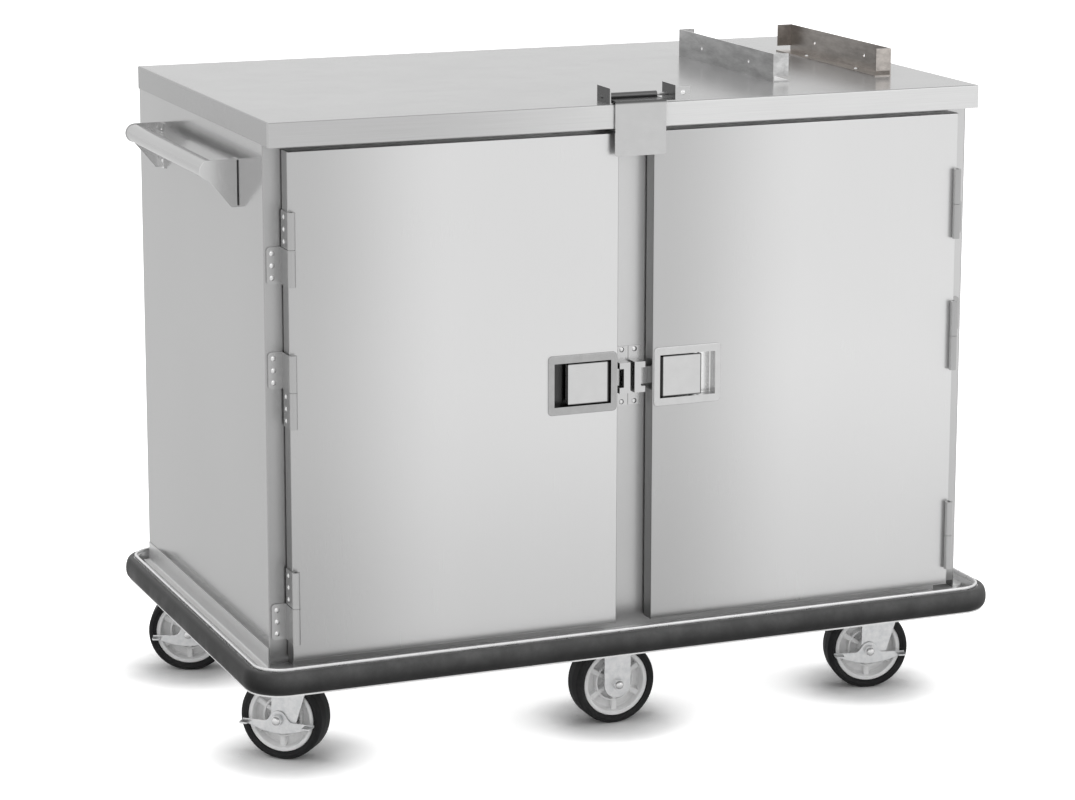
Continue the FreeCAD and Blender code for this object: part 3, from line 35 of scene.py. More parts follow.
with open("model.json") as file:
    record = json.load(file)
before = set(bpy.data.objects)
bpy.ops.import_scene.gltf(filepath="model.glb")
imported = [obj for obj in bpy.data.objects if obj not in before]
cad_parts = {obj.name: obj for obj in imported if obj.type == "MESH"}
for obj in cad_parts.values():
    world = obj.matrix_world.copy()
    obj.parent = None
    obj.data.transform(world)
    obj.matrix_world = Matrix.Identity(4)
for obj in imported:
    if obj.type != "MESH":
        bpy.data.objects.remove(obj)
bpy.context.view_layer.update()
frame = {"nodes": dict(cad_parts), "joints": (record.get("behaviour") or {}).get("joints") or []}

NODES = frame["nodes"]
SIDES = {"left": -1, "right": 1}
SWIVELS = ("front_left", "front_right", "rear_left", "rear_right")
FIXED = ("front_centre", "rear_centre")


# ---- node kit ------------------------------------------------------------

MIX_FACTOR = 0
MIX_FIRST = 6
MIX_SECOND = 7
MIX_RESULT = 2


def add_node(tree, kind, inputs, **settings):
    """Adds a node. Each input is a plain value or another node's output."""
    made = tree.nodes.new(kind)
    for name, setting in settings.items():
        setattr(made, name, setting)
    for name, value in inputs.items():
        fill_socket(tree, made.inputs[name], value)
    return made


def fill_socket(tree, socket, value):
    if isinstance(value, bpy.types.NodeSocket):
        tree.links.new(value, socket)
    else:
        socket.default_value = value


def arithmetic(tree, operation, first, second):
    return add_node(tree, "ShaderNodeMath", {0: first, 1: second}, operation=operation).outputs[0]


def grey(value):
    return (value, value, value, 1.0)


class Shader:
    """A material with one Principled shader and short ways to add nodes."""

    def __init__(self, name):
        self.name = name
        self.material = bpy.data.materials.new(name)
        self.material.use_nodes = True
        self.tree = self.material.node_tree
        self.surface = self.tree.nodes["Principled BSDF"]
        coordinates = self.add("ShaderNodeTexCoord", {}).outputs
        self.place = coordinates["Object"]
        self.span = coordinates["Generated"]
        self.facing = coordinates["Normal"]

    def add(self, kind, inputs, **settings):
        return add_node(self.tree, kind, inputs, **settings)

    def set(self, **sockets):
        """Fills the shader's own sockets with plain values or outputs of nodes."""
        for name, value in sockets.items():
            fill_socket(self.tree, self.surface.inputs[name.replace("_", " ")], value)

    def stretched(self, scale):
        """Object coordinates scaled by a different number on each axis."""
        return self.add("ShaderNodeMapping", {"Vector": self.place, "Scale": scale}).outputs["Vector"]

    def noise(self, scale, detail=3.0, roughness=0.5, vector=None):
        inputs = {"Vector": vector or self.place, "Scale": scale, "Detail": detail,
                  "Roughness": roughness}
        return self.add("ShaderNodeTexNoise", inputs).outputs["Fac"]

    def remap(self, value, low, high, start=0.3, end=0.7, **settings):
        """A value's stretch from start to end becomes low to high."""
        inputs = {"Value": value, "From Min": start, "From Max": end, "To Min": low, "To Max": high}
        return self.add("ShaderNodeMapRange", inputs, **settings).outputs["Result"]

    def ramp(self, vector, axis, low, high, start, end):
        """Smooth change from low to high along one axis of a vector."""
        parts = self.add("ShaderNodeSeparateXYZ", {"Vector": vector}).outputs
        return self.remap(parts[axis], low, high, start, end, interpolation_type="SMOOTHSTEP")

    def past(self, axis, start, end):
        """Zero before start and one after end, along one axis of the object."""
        return self.ramp(self.place, axis, 0.0, 1.0, start, end)

    def facing_shade(self, side):
        """Painted shade factor: one where the surface faces front or back, side where it faces left or
        right.
        """
        parts = self.add("ShaderNodeSeparateXYZ", {"Vector": self.facing}).outputs
        turned = self.add("ShaderNodeMath", {0: parts["X"]}, operation="ABSOLUTE").outputs[0]
        return self.remap(turned, 1.0, side, 0.3, 0.9)

    def blend(self, factor, first, second):
        inputs = {MIX_FACTOR: factor, MIX_FIRST: first, MIX_SECOND: second}
        return self.add("ShaderNodeMix", inputs, data_type="RGBA").outputs[MIX_RESULT]

    def dim(self, colour, value):
        """A colour multiplied by a grey value or by another colour."""
        inputs = {MIX_FACTOR: 1.0, MIX_FIRST: colour, MIX_SECOND: value}
        return self.add("ShaderNodeMix", inputs, data_type="RGBA",
                        blend_type="MULTIPLY").outputs[MIX_RESULT]

    def mottled(self, scale, dark, light):
        """Cloudy change between two greys."""
        return self.blend(self.remap(self.noise(scale, 4.0), 0.0, 1.0), grey(dark), grey(light))

    def bump(self, height, strength, distance):
        inputs = {"Height": height, "Strength": strength, "Distance": distance}
        self.set(Normal=self.add("ShaderNodeBump", inputs).outputs["Normal"])


# ---- materials -----------------------------------------------------------

# Scale of the drawn grain on each axis, smallest along the grain.
UPRIGHT = (1100.0, 1100.0, 6.0)
ALONG = (6.0, 1100.0, 1100.0)
ACROSS = (1100.0, 6.0, 1100.0)
POLISH_SPREAD = 0.02
MARKS = 0.015

# Painted shade over a sheet, darker towards one edge and towards the bottom: (axis, low, high, start,
# end) of its own box.
DOOR_PAINTED_SHADE = (("X", 0.70, 1.0, 0.0, 0.5), ("Z", 0.86, 1.0, 0.0, 0.55))
POST_PAINTED_SHADE = (("X", 0.70, 1.0, 0.05, 0.4), ("Z", 0.82, 1.0, 0.1, 0.7))

# Heights and edges of the CAD's own forms that a tone follows.
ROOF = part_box("top_panel")[1].z
APRON_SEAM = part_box("top_panel")[0].y + 0.011
SEAM_HALF = 0.0004
FAR_RAIL = 0.44
CUP_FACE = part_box("latch_housing_left")[0].y + 0.0022
CUP_FLOOR = -0.362
PADDLE_ROD = 0.051
PADDLE_TIP = 0.125
PADDLE_LOW = 0.6065
PADDLE_HIGH = 0.6785

# The painted shade band along a paddle's edge: where it starts and ends, inwards, and its tone.
SHADE_BAND_START = 0.0005
SHADE_BAND_END = 0.0025
SHADE_BAND_TONE = 0.05


def drawn_metal(name, grain, roughness, metallic=1.0):
    """Metal with drawn grain and faint handling marks; the tone is left to the caller.
    Gives the shader and its grain."""
    made = Shader(name)
    fine = made.noise(1.0, 4.0, 0.6, made.stretched(grain))
    smudge = made.noise(9.0, 6.0, 0.7)
    polish = arithmetic(made.tree, "ADD",
                        made.remap(fine, roughness - POLISH_SPREAD, roughness + POLISH_SPREAD),
                        made.remap(smudge, -MARKS, MARKS, 0.35, 0.75))
    made.set(Roughness=polish, Metallic=metallic)
    made.bump(fine, 0.01, 0.00005)
    return made, fine


def brushed_metal(name, dark, light, grain, roughness, painted_shades=(), side=1.0, metallic=1.0):
    """Drawn sheet with broad uneven polish. The given shades are painted shade along the sheet's own
    box, and side paints shade on the faces that look left or right.
    """
    made, fine = drawn_metal(name, grain, roughness, metallic)
    broad = made.noise(1.7, 2.0, 0.5)
    tone = arithmetic(made.tree, "ADD", made.remap(fine, 0.0, 0.35), made.remap(broad, 0.0, 0.65))
    colour = made.blend(tone, grey(dark), grey(light))
    # Painted shade: darker towards an edge and the bottom of the sheet's own box, then on the faces
    # that look left or right.
    for shade in painted_shades:
        colour = made.dim(colour, made.ramp(made.span, *shade))
    if side < 1.0:
        colour = made.dim(colour, made.facing_shade(side))
    made.set(Base_Color=colour)
    return made


def roof_metal(name, roughness):
    """The roof sheet: a hazier flat top painted darker than the aprons as painted shade, and aprons
    with painted shade towards the cart's left end and on the faces that look left or right. The return
    of the front apron, up to its seam, gets less of that side shade, so it is lighter than the side
    apron."""
    made, fine = drawn_metal(name, ALONG, roughness, metallic=0.55)
    sheet = made.blend(made.remap(fine, 0.0, 1.0), grey(0.72), grey(0.80))
    # Painted shade: the aprons darken towards the cart's left end and where they face left or right,
    # the front apron's return less so; the flat top is painted darker.
    sheet = made.dim(sheet, made.ramp(made.span, "X", 0.70, 1.0, 0.15, 0.62))
    apron = made.blend(made.past("Y", APRON_SEAM - SEAM_HALF, APRON_SEAM + SEAM_HALF),
                       made.dim(sheet, made.facing_shade(0.8)), made.dim(sheet, made.facing_shade(0.62)))
    top = made.blend(made.remap(made.noise(1.4, 3.0), 0.0, 1.0), grey(0.345), grey(0.375))
    made.set(Base_Color=made.blend(made.past("Z", ROOF - 0.0022, ROOF - 0.0004), apron, top))
    return made


def cup_metal(name, dark, light, roughness, wall_shade, floor_light_and_shade):
    """Pressed latch cup: bright bezel, drawn walls with painted shade and a painted tone at the bottom,
    shade in one cup and light in the other.
    """
    made, _ = drawn_metal(name, ALONG, roughness)
    face = made.mottled(70.0, dark, light)
    # The walls carry painted shade; the bottom carries painted shade in the left cup and painted light
    # in the right one.
    wall = made.blend(made.past("Y", CUP_FACE, CUP_FACE + 0.0012), face, grey(wall_shade))
    made.set(Base_Color=made.blend(made.past("Y", CUP_FLOOR - 0.002, CUP_FLOOR), wall,
                                   grey(floor_light_and_shade)))
    return made


def paddle_metal(name, dark, light, roughness, side):
    """Paddle plate with a band of painted shade along its edges. An edge is (axis, place, way inwards).
    """
    made, _ = drawn_metal(name, ALONG, roughness)
    edges = [("X", side * PADDLE_ROD, side), ("Z", PADDLE_LOW, 1), ("Z", PADDLE_HIGH, -1)]
    if side > 0:
        edges.append(("X", PADDLE_TIP, -1))
    colour = made.mottled(50.0, dark, light)
    for axis, edge, way in edges:
        # The dark band along each edge is painted shade.
        if way > 0:
            edge_shade = made.ramp(made.place, axis, SHADE_BAND_TONE, 1.0, edge + SHADE_BAND_START, edge + SHADE_BAND_END)
        else:
            edge_shade = made.ramp(made.place, axis, 1.0, SHADE_BAND_TONE, edge - SHADE_BAND_END, edge - SHADE_BAND_START)
        colour = made.dim(colour, edge_shade)
    made.set(Base_Color=colour)
    return made


def rail_metal(name, dark, light, roughness):
    """Cradle rails: handled, streaky steel with painted shade on the long sides, the far one warmer."""
    made, _ = drawn_metal(name, ACROSS, roughness)
    streaks = made.noise(1.0, 5.0, 0.7, made.stretched((40.0, 14.0, 60.0)))
    colour = made.blend(made.remap(streaks, 0.0, 1.0, 0.35, 0.65), grey(dark), grey(light))
    warm = made.blend(made.past("X", FAR_RAIL, FAR_RAIL + 0.01), grey(1.0), (0.84, 0.78, 0.73, 1.0))
    # The long sides get painted shade.
    made.set(Base_Color=made.dim(made.dim(colour, made.facing_shade(0.52)), warm))
    return made


def flap_metal(name, dark, light, roughness):
    """Travel latch flap with painted shade on the knuckle above the roof."""
    made, _ = drawn_metal(name, ALONG, roughness)
    knuckle_shade = made.ramp(made.place, "Z", 1.0, 0.22, ROOF - 0.001, ROOF + 0.003)
    made.set(Base_Color=made.dim(made.mottled(40.0, dark, light), knuckle_shade))
    return made


def plain_metal(name, dark, light, scale, roughness, metallic=1.0):
    """Cast, plated or extruded metal with mottling and small pits."""
    made = Shader(name)
    mottle = made.noise(scale, 4.0, 0.6)
    pits = made.noise(scale * 9, 2.0)
    made.set(Base_Color=made.blend(made.remap(mottle, 0.0, 1.0), dark, light),
             Roughness=made.remap(mottle, roughness - 0.06, roughness + 0.08),
             Metallic=metallic)
    made.bump(pits, 0.06, 0.0001)
    return made


def rubber(name, dark, light, roughness, foot=1.0, side=1.0):
    """Moulded rubber: fine skin grain, dusty patches and duller scuffs. foot paints shade that darkens
    it towards its foot, and side paints shade where it faces left or right."""
    made = Shader(name)
    grain = made.noise(900.0, 2.0)
    dust = made.noise(14.0, 5.0, 0.65)
    colour = made.blend(made.remap(dust, 0.0, 1.0, 0.42, 0.8), dark, light)
    # Painted shade towards the foot and on the faces that look left or right.
    if foot < 1.0:
        colour = made.dim(colour, made.ramp(made.span, "Z", foot, 1.0, 0.15, 0.95))
    if side < 1.0:
        colour = made.dim(colour, made.facing_shade(side))
    made.set(Base_Color=colour, Roughness=made.remap(dust, roughness - 0.08, roughness + 0.12),
             Specular_IOR_Level=0.12)
    made.bump(grain, 0.25, 0.0003)
    return made


def polymer(name, dark, light, roughness):
    """Moulded polymer with a satin skin and slight flow marks."""
    made = Shader(name)
    flow = made.noise(30.0, 4.0, 0.6, made.stretched((1.0, 4.0, 1.0)))
    skin = made.noise(700.0, 2.0)
    made.set(Base_Color=made.blend(made.remap(flow, 0.0, 1.0), dark, light),
             Roughness=made.remap(flow, roughness - 0.05, roughness + 0.08))
    made.bump(skin, 0.15, 0.0002)
    return made


SHADERS = (
    # The doors carry painted shade towards their left edge, their bottom and their edge faces, the
    # right door's edge faces darker.
    brushed_metal("door_steel_left", 0.70, 0.73, UPRIGHT, 0.3, DOOR_PAINTED_SHADE, side=0.85),
    brushed_metal("door_steel_right", 0.72, 0.75, UPRIGHT, 0.3, DOOR_PAINTED_SHADE, side=0.5),
    brushed_metal("side_steel", 0.405, 0.44, ACROSS, 0.15, metallic=0.74),
    roof_metal("top_steel", 0.2),
    # The front frame carries painted shade towards its left side and its bottom.
    brushed_metal("frame_steel", 0.61, 0.635, UPRIGHT, 0.34, POST_PAINTED_SHADE),
    brushed_metal("inner_steel", 0.42, 0.5, UPRIGHT, 0.4),
    brushed_metal("fitting_steel", 0.52, 0.64, ALONG, 0.25),
    flap_metal("flap_steel", 0.555, 0.585, 0.26),
    paddle_metal("paddle_steel_left", 0.60, 0.63, 0.25, SIDES["left"]),
    paddle_metal("paddle_steel_right", 0.60, 0.63, 0.25, SIDES["right"]),
    # The left cup is painted with the shade in its recess, the right one with light on the bottom of
    # its recess.
    cup_metal("cup_steel_shaded_left", 0.40, 0.44, 0.26, 0.05, 0.06),
    cup_metal("cup_steel_lit_right", 0.59, 0.63, 0.26, 0.42, 0.9),
    # side paints dark shade on the faces that look left or right.
    brushed_metal("ear_steel", 0.52, 0.62, ALONG, 0.28, side=0.2),
    brushed_metal("catch_steel", 0.56, 0.66, UPRIGHT, 0.26, side=0.15),
    brushed_metal("grip_steel", 0.43, 0.50, ACROSS, 0.24),
    brushed_metal("bracket_steel", 0.60, 0.66, ACROSS, 0.26),
    brushed_metal("hinge_steel", 0.40, 0.50, UPRIGHT, 0.3),
    rail_metal("rail_steel", 0.50, 0.78, 0.3),
    brushed_metal("foot_steel", 0.70, 0.73, ACROSS, 0.36, metallic=0.45),
    brushed_metal("deck_steel", 0.72, 0.76, ALONG, 0.3, metallic=0.5),
    plain_metal("channel_metal", grey(0.68), grey(0.8), 60.0, 0.3),
    plain_metal("bright_metal", grey(0.62), grey(0.8), 120.0, 0.2),
    plain_metal("zinc_metal", (0.62, 0.63, 0.64, 1.0), grey(0.78), 95.0, 0.34, 0.85),
    rubber("black_rubber", grey(0.012), grey(0.03), 0.5),
    # The bumper strip is painted with shade towards its foot and on its side faces.
    rubber("strip_rubber", grey(0.08), grey(0.136), 0.4, foot=0.3, side=0.36),
    rubber("tyre_rubber", (0.016, 0.016, 0.017, 1.0), grey(0.04), 0.5),
    polymer("grey_polymer", grey(0.78), grey(0.88), 0.36),
)
MATERIALS = {made.name: made.material for made in SHADERS}

NODE_FINISH = {
    "door_steel_left": ("door_skin_left",),
    "door_steel_right": ("door_skin_right",),
    "side_steel": ("side_panel_left", "side_panel_right", "back_panel"),
    "top_steel": ("top_panel",),
    "frame_steel": ("front_frame",),
    "inner_steel": ("door_liner_left", "door_liner_right", "cabinet_floor", "centre_divider",
                    "tray_racks"),
    "fitting_steel": ("latch_bolt_left", "latch_bolt_right"),
    "catch_steel": ("latch_catches",),
    "paddle_steel_left": ("latch_paddle_left",),
    "paddle_steel_right": ("latch_paddle_right",),
    "flap_steel": ("travel_latch_flap",),
    "ear_steel": ("travel_latch_ears",),
    "cup_steel_shaded_left": ("latch_housing_left",),
    "cup_steel_lit_right": ("latch_housing_right",),
    "bracket_steel": ("handle_brackets",),
    "hinge_steel": ("hinge_frame_leaves", "door_hinge_leaves_left", "door_hinge_leaves_right"),
    "rail_steel": ("cradle_rails",),
    "deck_steel": ("base_deck", "cross_members"),
    "channel_metal": ("bumper_channel",),
    "zinc_metal": ("swivel_plates", "rigid_forks", "caster_bolts")
    + tuple("caster_fork_" + name for name in SWIVELS)
    + tuple("brake_pedal_" + name for name in SWIVELS),
    "black_rubber": ("door_gasket_left", "door_gasket_right"),
    "bright_metal": ("cabinet_screws", "door_screws_left", "door_screws_right"),
}

for look, names in NODE_FINISH.items():
    for name in names:
        for slot in NODES[name].material_slots:
            slot.material = MATERIALS[look]


# ---- mesh kit ------------------------------------------------------------

# Gap between a piece made here and the solid that it lies on.
SKIN = 0.0002


def new_piece(name, tool, look, body, sharp):
    """Turns a filled bmesh into a piece that rides on a body, smooth below the angle sharp."""
    bmesh.ops.recalc_face_normals(tool, faces=tool.faces[:])
    data = bpy.data.meshes.new(name)
    tool.to_mesh(data)
    tool.free()
    data.shade_smooth()
    data.set_sharp_from_angle(angle=math.radians(sharp))
    data.materials.append(MATERIALS[look])
    piece = bpy.data.objects.new(name, data)
    bpy.context.collection.objects.link(piece)
    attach(piece, body)
    return piece


def join_rings(tool, rings, closed=False):
    """Skins a row of equal rings of vertices: back to the first if closed, else capped."""
    pairs = list(zip(rings, rings[1:]))
    if closed:
        pairs.append((rings[-1], rings[0]))
    for here, there in pairs:
        for i in range(len(here)):
            j = (i + 1) % len(here)
            tool.faces.new((here[i], here[j], there[j], there[i]))
    if not closed:
        tool.faces.new(rings[0])
        tool.faces.new(rings[-1])


def lathe(tool, profile, steps, matrix):
    """Revolves (radius, offset) points about the local Y axis as a closed skin."""
    rings = []
    for turn in range(steps):
        angle = 2 * math.pi * turn / steps
        direction = Vector((math.cos(angle), 0.0, math.sin(angle)))
        rings.append([tool.verts.new(matrix @ (direction * radius + Vector((0.0, offset, 0.0))))
                      for radius, offset in profile])
    join_rings(tool, rings, closed=True)


def mirrored(profile):
    """The other half of a (radius, offset) profile, from its end back to its start."""
    return [(radius, -offset) for radius, offset in reversed(profile)]


def arc(centre, radius, start, end, steps):
    """Points of an arc in a profile plane, angles in degrees."""
    points = []
    for i in range(steps + 1):
        angle = math.radians(start + (end - start) * i / steps)
        points.append((centre[0] + radius * math.cos(angle), centre[1] + radius * math.sin(angle)))
    return points


# ---- bumper --------------------------------------------------------------

BUMPER_CORNER = 0.067
CORNER_STEPS = 16
BEAD_EDGE = 0.6838


def belt_path(half_long, half_deep):
    """Points and outward directions of the bumper's rounded rectangle round the cart."""
    path = []
    for quarter, (sx, sy) in enumerate(((1, 1), (-1, 1), (-1, -1), (1, -1))):
        middle = Vector((sx * (half_long - BUMPER_CORNER), sy * (half_deep - BUMPER_CORNER), 0.0))
        for i in range(CORNER_STEPS + 1):
            angle = math.pi / 2 * (quarter + i / CORNER_STEPS)
            outward = Vector((math.cos(angle), math.sin(angle), 0.0))
            path.append((middle + outward * BUMPER_CORNER, outward))
    return path


def sweep_belt(tool, profile, half_long, half_deep):
    """Runs a closed (outward, up) profile round the cart."""
    rings = [[tool.verts.new(point + outward * across + Vector((0, 0, up))) for across, up in profile]
             for point, outward in belt_path(half_long, half_deep)]
    join_rings(tool, rings, closed=True)


def make_bumper_strip():
    """Extruded rubber strip with a soft crown, whose top laps over the channel's lip."""
    low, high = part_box("bumper_rubber")
    channel_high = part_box("bumper_channel")[1]
    middle = (low.z + high.z) / 2
    half_tall = (high.z - low.z) / 2
    shoulder = middle + half_tall - 0.0006
    lip = high.x - channel_high.x
    tuck = lip - 0.0003
    back = lip + 0.0135
    lap = lip + 0.0082
    lap_top = channel_high.z + 0.0014
    lap_edge = 0.0012
    crown, power, steps = 0.010, 2.3, 18
    profile = [(-lap, channel_high.z + SKIN), (-tuck, channel_high.z + SKIN),
               (-tuck, shoulder), (-back, shoulder), (-back, middle - half_tall)]
    for i in range(steps + 1):
        rise = math.sin(math.radians(-90 + 180 * i / steps))
        profile.append((-crown * (1 - (1 - abs(rise) ** power) ** (1 / power)),
                        middle + half_tall * rise + (lap_top - high.z) * max(0.0, rise) ** 3))
    profile += [(-lap + lap_edge, lap_top), (-lap, lap_top - lap_edge / 2)]
    tool = bmesh.new()
    sweep_belt(tool, profile, high.x, high.y)
    piece = new_piece("bumper_strip", tool, "strip_rubber", "cart", 40)
    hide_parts("bumper_rubber")


def make_bumper_bead():
    """Rolled metal bead along the inner edge of the channel's top lip."""
    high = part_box("bumper_rubber")[1]
    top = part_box("bumper_channel")[1].z
    inset = high.x - BEAD_EDGE
    wide, tall = 0.0048, 0.0066
    radius = wide / 2
    profile = [(-inset, top + SKIN)]
    profile += [(-inset + radius - x, top + tall - radius + y)
                for x, y in arc((0.0, 0.0), radius, 0, 180, 8)]
    profile += [(-inset + wide, top + SKIN)]
    tool = bmesh.new()
    sweep_belt(tool, profile, high.x, high.y)
    new_piece("bumper_bead", tool, "channel_metal", "cart", 40)


make_bumper_strip()
make_bumper_bead()


# ---- foot angles ---------------------------------------------------------

WELD_PITCH = 0.118
WELD_COUNT = 6
# Section of a weld mark from its edge inwards: (radius, height).
WELD_PROFILE = ((0.0034, -0.0001), (0.0028, 0.00035), (0.0021, 0.00035), (0.0016, 0.0001))


def make_foot_angle(name, side):
    """Folded angle that closes the foot of a side panel on the deck, with spot welds."""
    panel_low, panel_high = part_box("side_panel_" + name)
    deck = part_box("base_deck")[1].z
    face = panel_high.x if side > 0 else -panel_low.x
    sheet, bend, reach, tall, end_gap = 0.0012, 0.003, 0.013, 0.034, 0.002
    front = face + SKIN + sheet
    start, end = panel_low.y + end_gap, panel_high.y - end_gap
    section = [(face + reach, deck + sheet)]
    section += [(front + bend - bend * math.sin(a), deck + sheet + bend - bend * math.cos(a))
                for a in (math.radians(15 * i) for i in range(7))]
    section += [(front, deck + tall), (face + SKIN, deck + tall), (face + SKIN, deck + SKIN),
                (face + reach, deck + SKIN)]
    tool = bmesh.new()
    join_rings(tool, [[tool.verts.new(Vector((side * x, y, z))) for x, z in section]
                      for y in (start, end)])
    for k in range(WELD_COUNT):
        along = (start + end) / 2 + (k - (WELD_COUNT - 1) / 2) * WELD_PITCH
        add_weld_mark(tool, Vector((side * front, along, deck + 0.62 * tall)), side)
    new_piece("foot_angle_" + name, tool, "foot_steel", "cart", 30)


def add_weld_mark(tool, centre, side):
    """Shallow raised ring left by a spot weld."""
    steps = 16
    angles = [2 * math.pi * i / steps for i in range(steps)]
    join_rings(tool, [[tool.verts.new(centre + Vector((side * out, radius * math.cos(a),
                                                       radius * math.sin(a)))) for a in angles]
                      for radius, out in WELD_PROFILE])


for name, side in SIDES.items():
    make_foot_angle(name, side)


# ---- handle bracket shade beads, painted shade ---------------------------

def make_bracket_shade_beads():
    """Dark quarter-round bead down the foot of each handle bracket: a dark piece put where the bend's
    shade falls, as painted shade.
    """
    low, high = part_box("handle_brackets")
    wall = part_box("side_panel_right")[1].x + SKIN
    radius, steps = 0.0016, 5
    tool = bmesh.new()
    for side in SIDES.values():
        for y, way in ((low.y, -1), (high.y, 1)):
            section = [(wall, y + way * SKIN)]
            section += [(wall + across, y + way * (SKIN + out))
                        for across, out in arc((0.0, 0.0), radius, 0, 90, steps)]
            join_rings(tool, [[tool.verts.new(Vector((side * x, along, z))) for x, along in section]
                              for z in (low.z + 0.003, high.z - 0.0015)])
    new_piece("bracket_shade_beads", tool, "tyre_rubber", "cart", 50)


make_bracket_shade_beads()


# ---- wheels --------------------------------------------------------------

# A wheel's own frame has its origin at the wheel's centre, Y along the axle,
# with the nut at negative Y, and Z up.
TYRE_RADIUS = 0.075
TYRE_HALF = 0.024
RIM_RADIUS = 0.0605
RIM_HALF = 0.022
LIP_RADIUS = 0.0525
RIDGE_RADIUS = 0.034
HUB_RADIUS = 0.017
HUB_HALF = 0.025
AXLE_BORE = 0.00605
WEB_HALF = 0.004
RIB_TOP = 0.0155
RIB_COUNT = 6


def wheel_matrix(joint_name):
    """Places a wheel's own frame at its joint."""
    joint = next(j for j in frame["joints"] if j["name"] == joint_name)
    axle = Vector(joint["axis"])
    up = Vector((0.0, 0.0, 1.0))
    turn = Matrix((axle.cross(up), axle, up)).transposed().to_4x4()
    return Matrix.Translation(Vector(joint["pos_m"])) @ turn


def make_tyre(name, matrix):
    """Tyre with round shoulders, a mould line, a fine ring on each wall and a bead step."""
    shoulder, bead, bead_depth, ring_half, ring_rise = 0.007, 0.0012, 0.002, 0.0005, 0.0004
    mould_half, mould_rise = 0.0012, 0.00015
    flank = TYRE_RADIUS - shoulder
    half = [(RIM_RADIUS, -TYRE_HALF + bead_depth), (RIM_RADIUS + bead, -TYRE_HALF),
            (flank - 2 * ring_half, -TYRE_HALF), (flank - ring_half, -TYRE_HALF - ring_rise)]
    half += [(radius, offset) for offset, radius
             in arc((-TYRE_HALF + shoulder, flank), shoulder, 180, 90, 6)]
    half += [(TYRE_RADIUS, -mould_half)]
    tool = bmesh.new()
    lathe(tool, half + [(TYRE_RADIUS + mould_rise, 0.0)] + mirrored(half), 96, matrix)
    piece = new_piece("tyre_skin_" + name, tool, "tyre_rubber", "wheel_" + name, 45)
    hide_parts("tyre_" + name)


def make_wheel_centre(name, matrix):
    """Moulded wheel centre: rim with a rolled lip, dished web, ring, ribs and hub."""
    ease = 0.001
    half = [(AXLE_BORE, -HUB_HALF), (HUB_RADIUS - ease, -HUB_HALF), (HUB_RADIUS, -HUB_HALF + ease),
            (HUB_RADIUS + 0.0008, -WEB_HALF - ease), (HUB_RADIUS + 0.002, -WEB_HALF)]
    half += [(RIDGE_RADIUS - 0.0025, -WEB_HALF), (RIDGE_RADIUS - 0.0018, -RIB_TOP - 0.0002),
             (RIDGE_RADIUS - 0.0010, -RIB_TOP - 0.0009), (RIDGE_RADIUS + 0.0010, -RIB_TOP - 0.0009),
             (RIDGE_RADIUS + 0.0018, -RIB_TOP - 0.0002), (RIDGE_RADIUS + 0.0025, -WEB_HALF)]
    half += [(LIP_RADIUS - 0.004, -WEB_HALF), (LIP_RADIUS - 0.0015, -WEB_HALF - 0.0025),
             (LIP_RADIUS, -RIM_HALF + 0.0013), (LIP_RADIUS + ease, -RIM_HALF),
             (RIM_RADIUS - 0.0012, -RIM_HALF), (RIM_RADIUS, -RIM_HALF + ease)]
    tool = bmesh.new()
    lathe(tool, half + mirrored(half), 72, matrix)
    for spoke in range(RIB_COUNT):
        turn = Matrix.Rotation(2 * math.pi * spoke / RIB_COUNT, 4, "Y")
        for way in (-1, 1):
            add_rib(tool, matrix @ turn, way)
    piece = new_piece("wheel_centre_" + name, tool, "grey_polymer",
                      "wheel_" + name, 35)
    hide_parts("wheel_core_" + name)


def add_rib(tool, matrix, way):
    """One spoke rib on one face of the web, wider at the rim, soft on top."""
    foot = WEB_HALF - 0.001
    edge = RIB_TOP - 0.0015
    section = ((-0.0055, foot), (-0.0048, edge), (-0.0033, RIB_TOP), (0.0033, RIB_TOP),
               (0.0048, edge), (0.0055, foot))
    join_rings(tool, [[tool.verts.new(matrix @ Vector((x * wide, way * y, radius))) for x, y in section]
                      for radius, wide in ((HUB_RADIUS - 0.001, 0.8), (LIP_RADIUS + 0.001, 1.15))])


# ---- brakes and axle nuts ------------------------------------------------

# A pedal in the wheel's own frame: half length, heights and places along the axle.
BRAKE_SPAN = 0.066
BRAKE_TIP = -0.0065
BRAKE_BELLY = -0.025
BRAKE_ARM = -0.0035
BRAKE_HUB = 0.0155
BRAKE_NECK = 0.013
BRAKE_INNER = -0.031
BRAKE_OUTER = -0.0338
BRAKE_REACH = -0.0518
TAB_LONG = 0.016
TAB_THICK = 0.003
TAB_CORNER = 0.004

# Where an axle's nut bears, along the axle, and the height of the nut.
SWIVEL_SEAT = -0.0345
FIXED_SEAT = -0.0305
NUT_TALL = 0.008


def brake_top(x):
    """Height of the pedal's upper edge above the axle: a round hub between low arms."""
    if abs(x) <= BRAKE_NECK:
        return math.sqrt(BRAKE_HUB ** 2 - x ** 2)
    fall = min(1.0, (abs(x) - BRAKE_NECK) / 0.012)
    start = math.sqrt(BRAKE_HUB ** 2 - BRAKE_NECK ** 2)
    return start + (BRAKE_ARM - start) * math.sin(math.pi / 2 * fall)


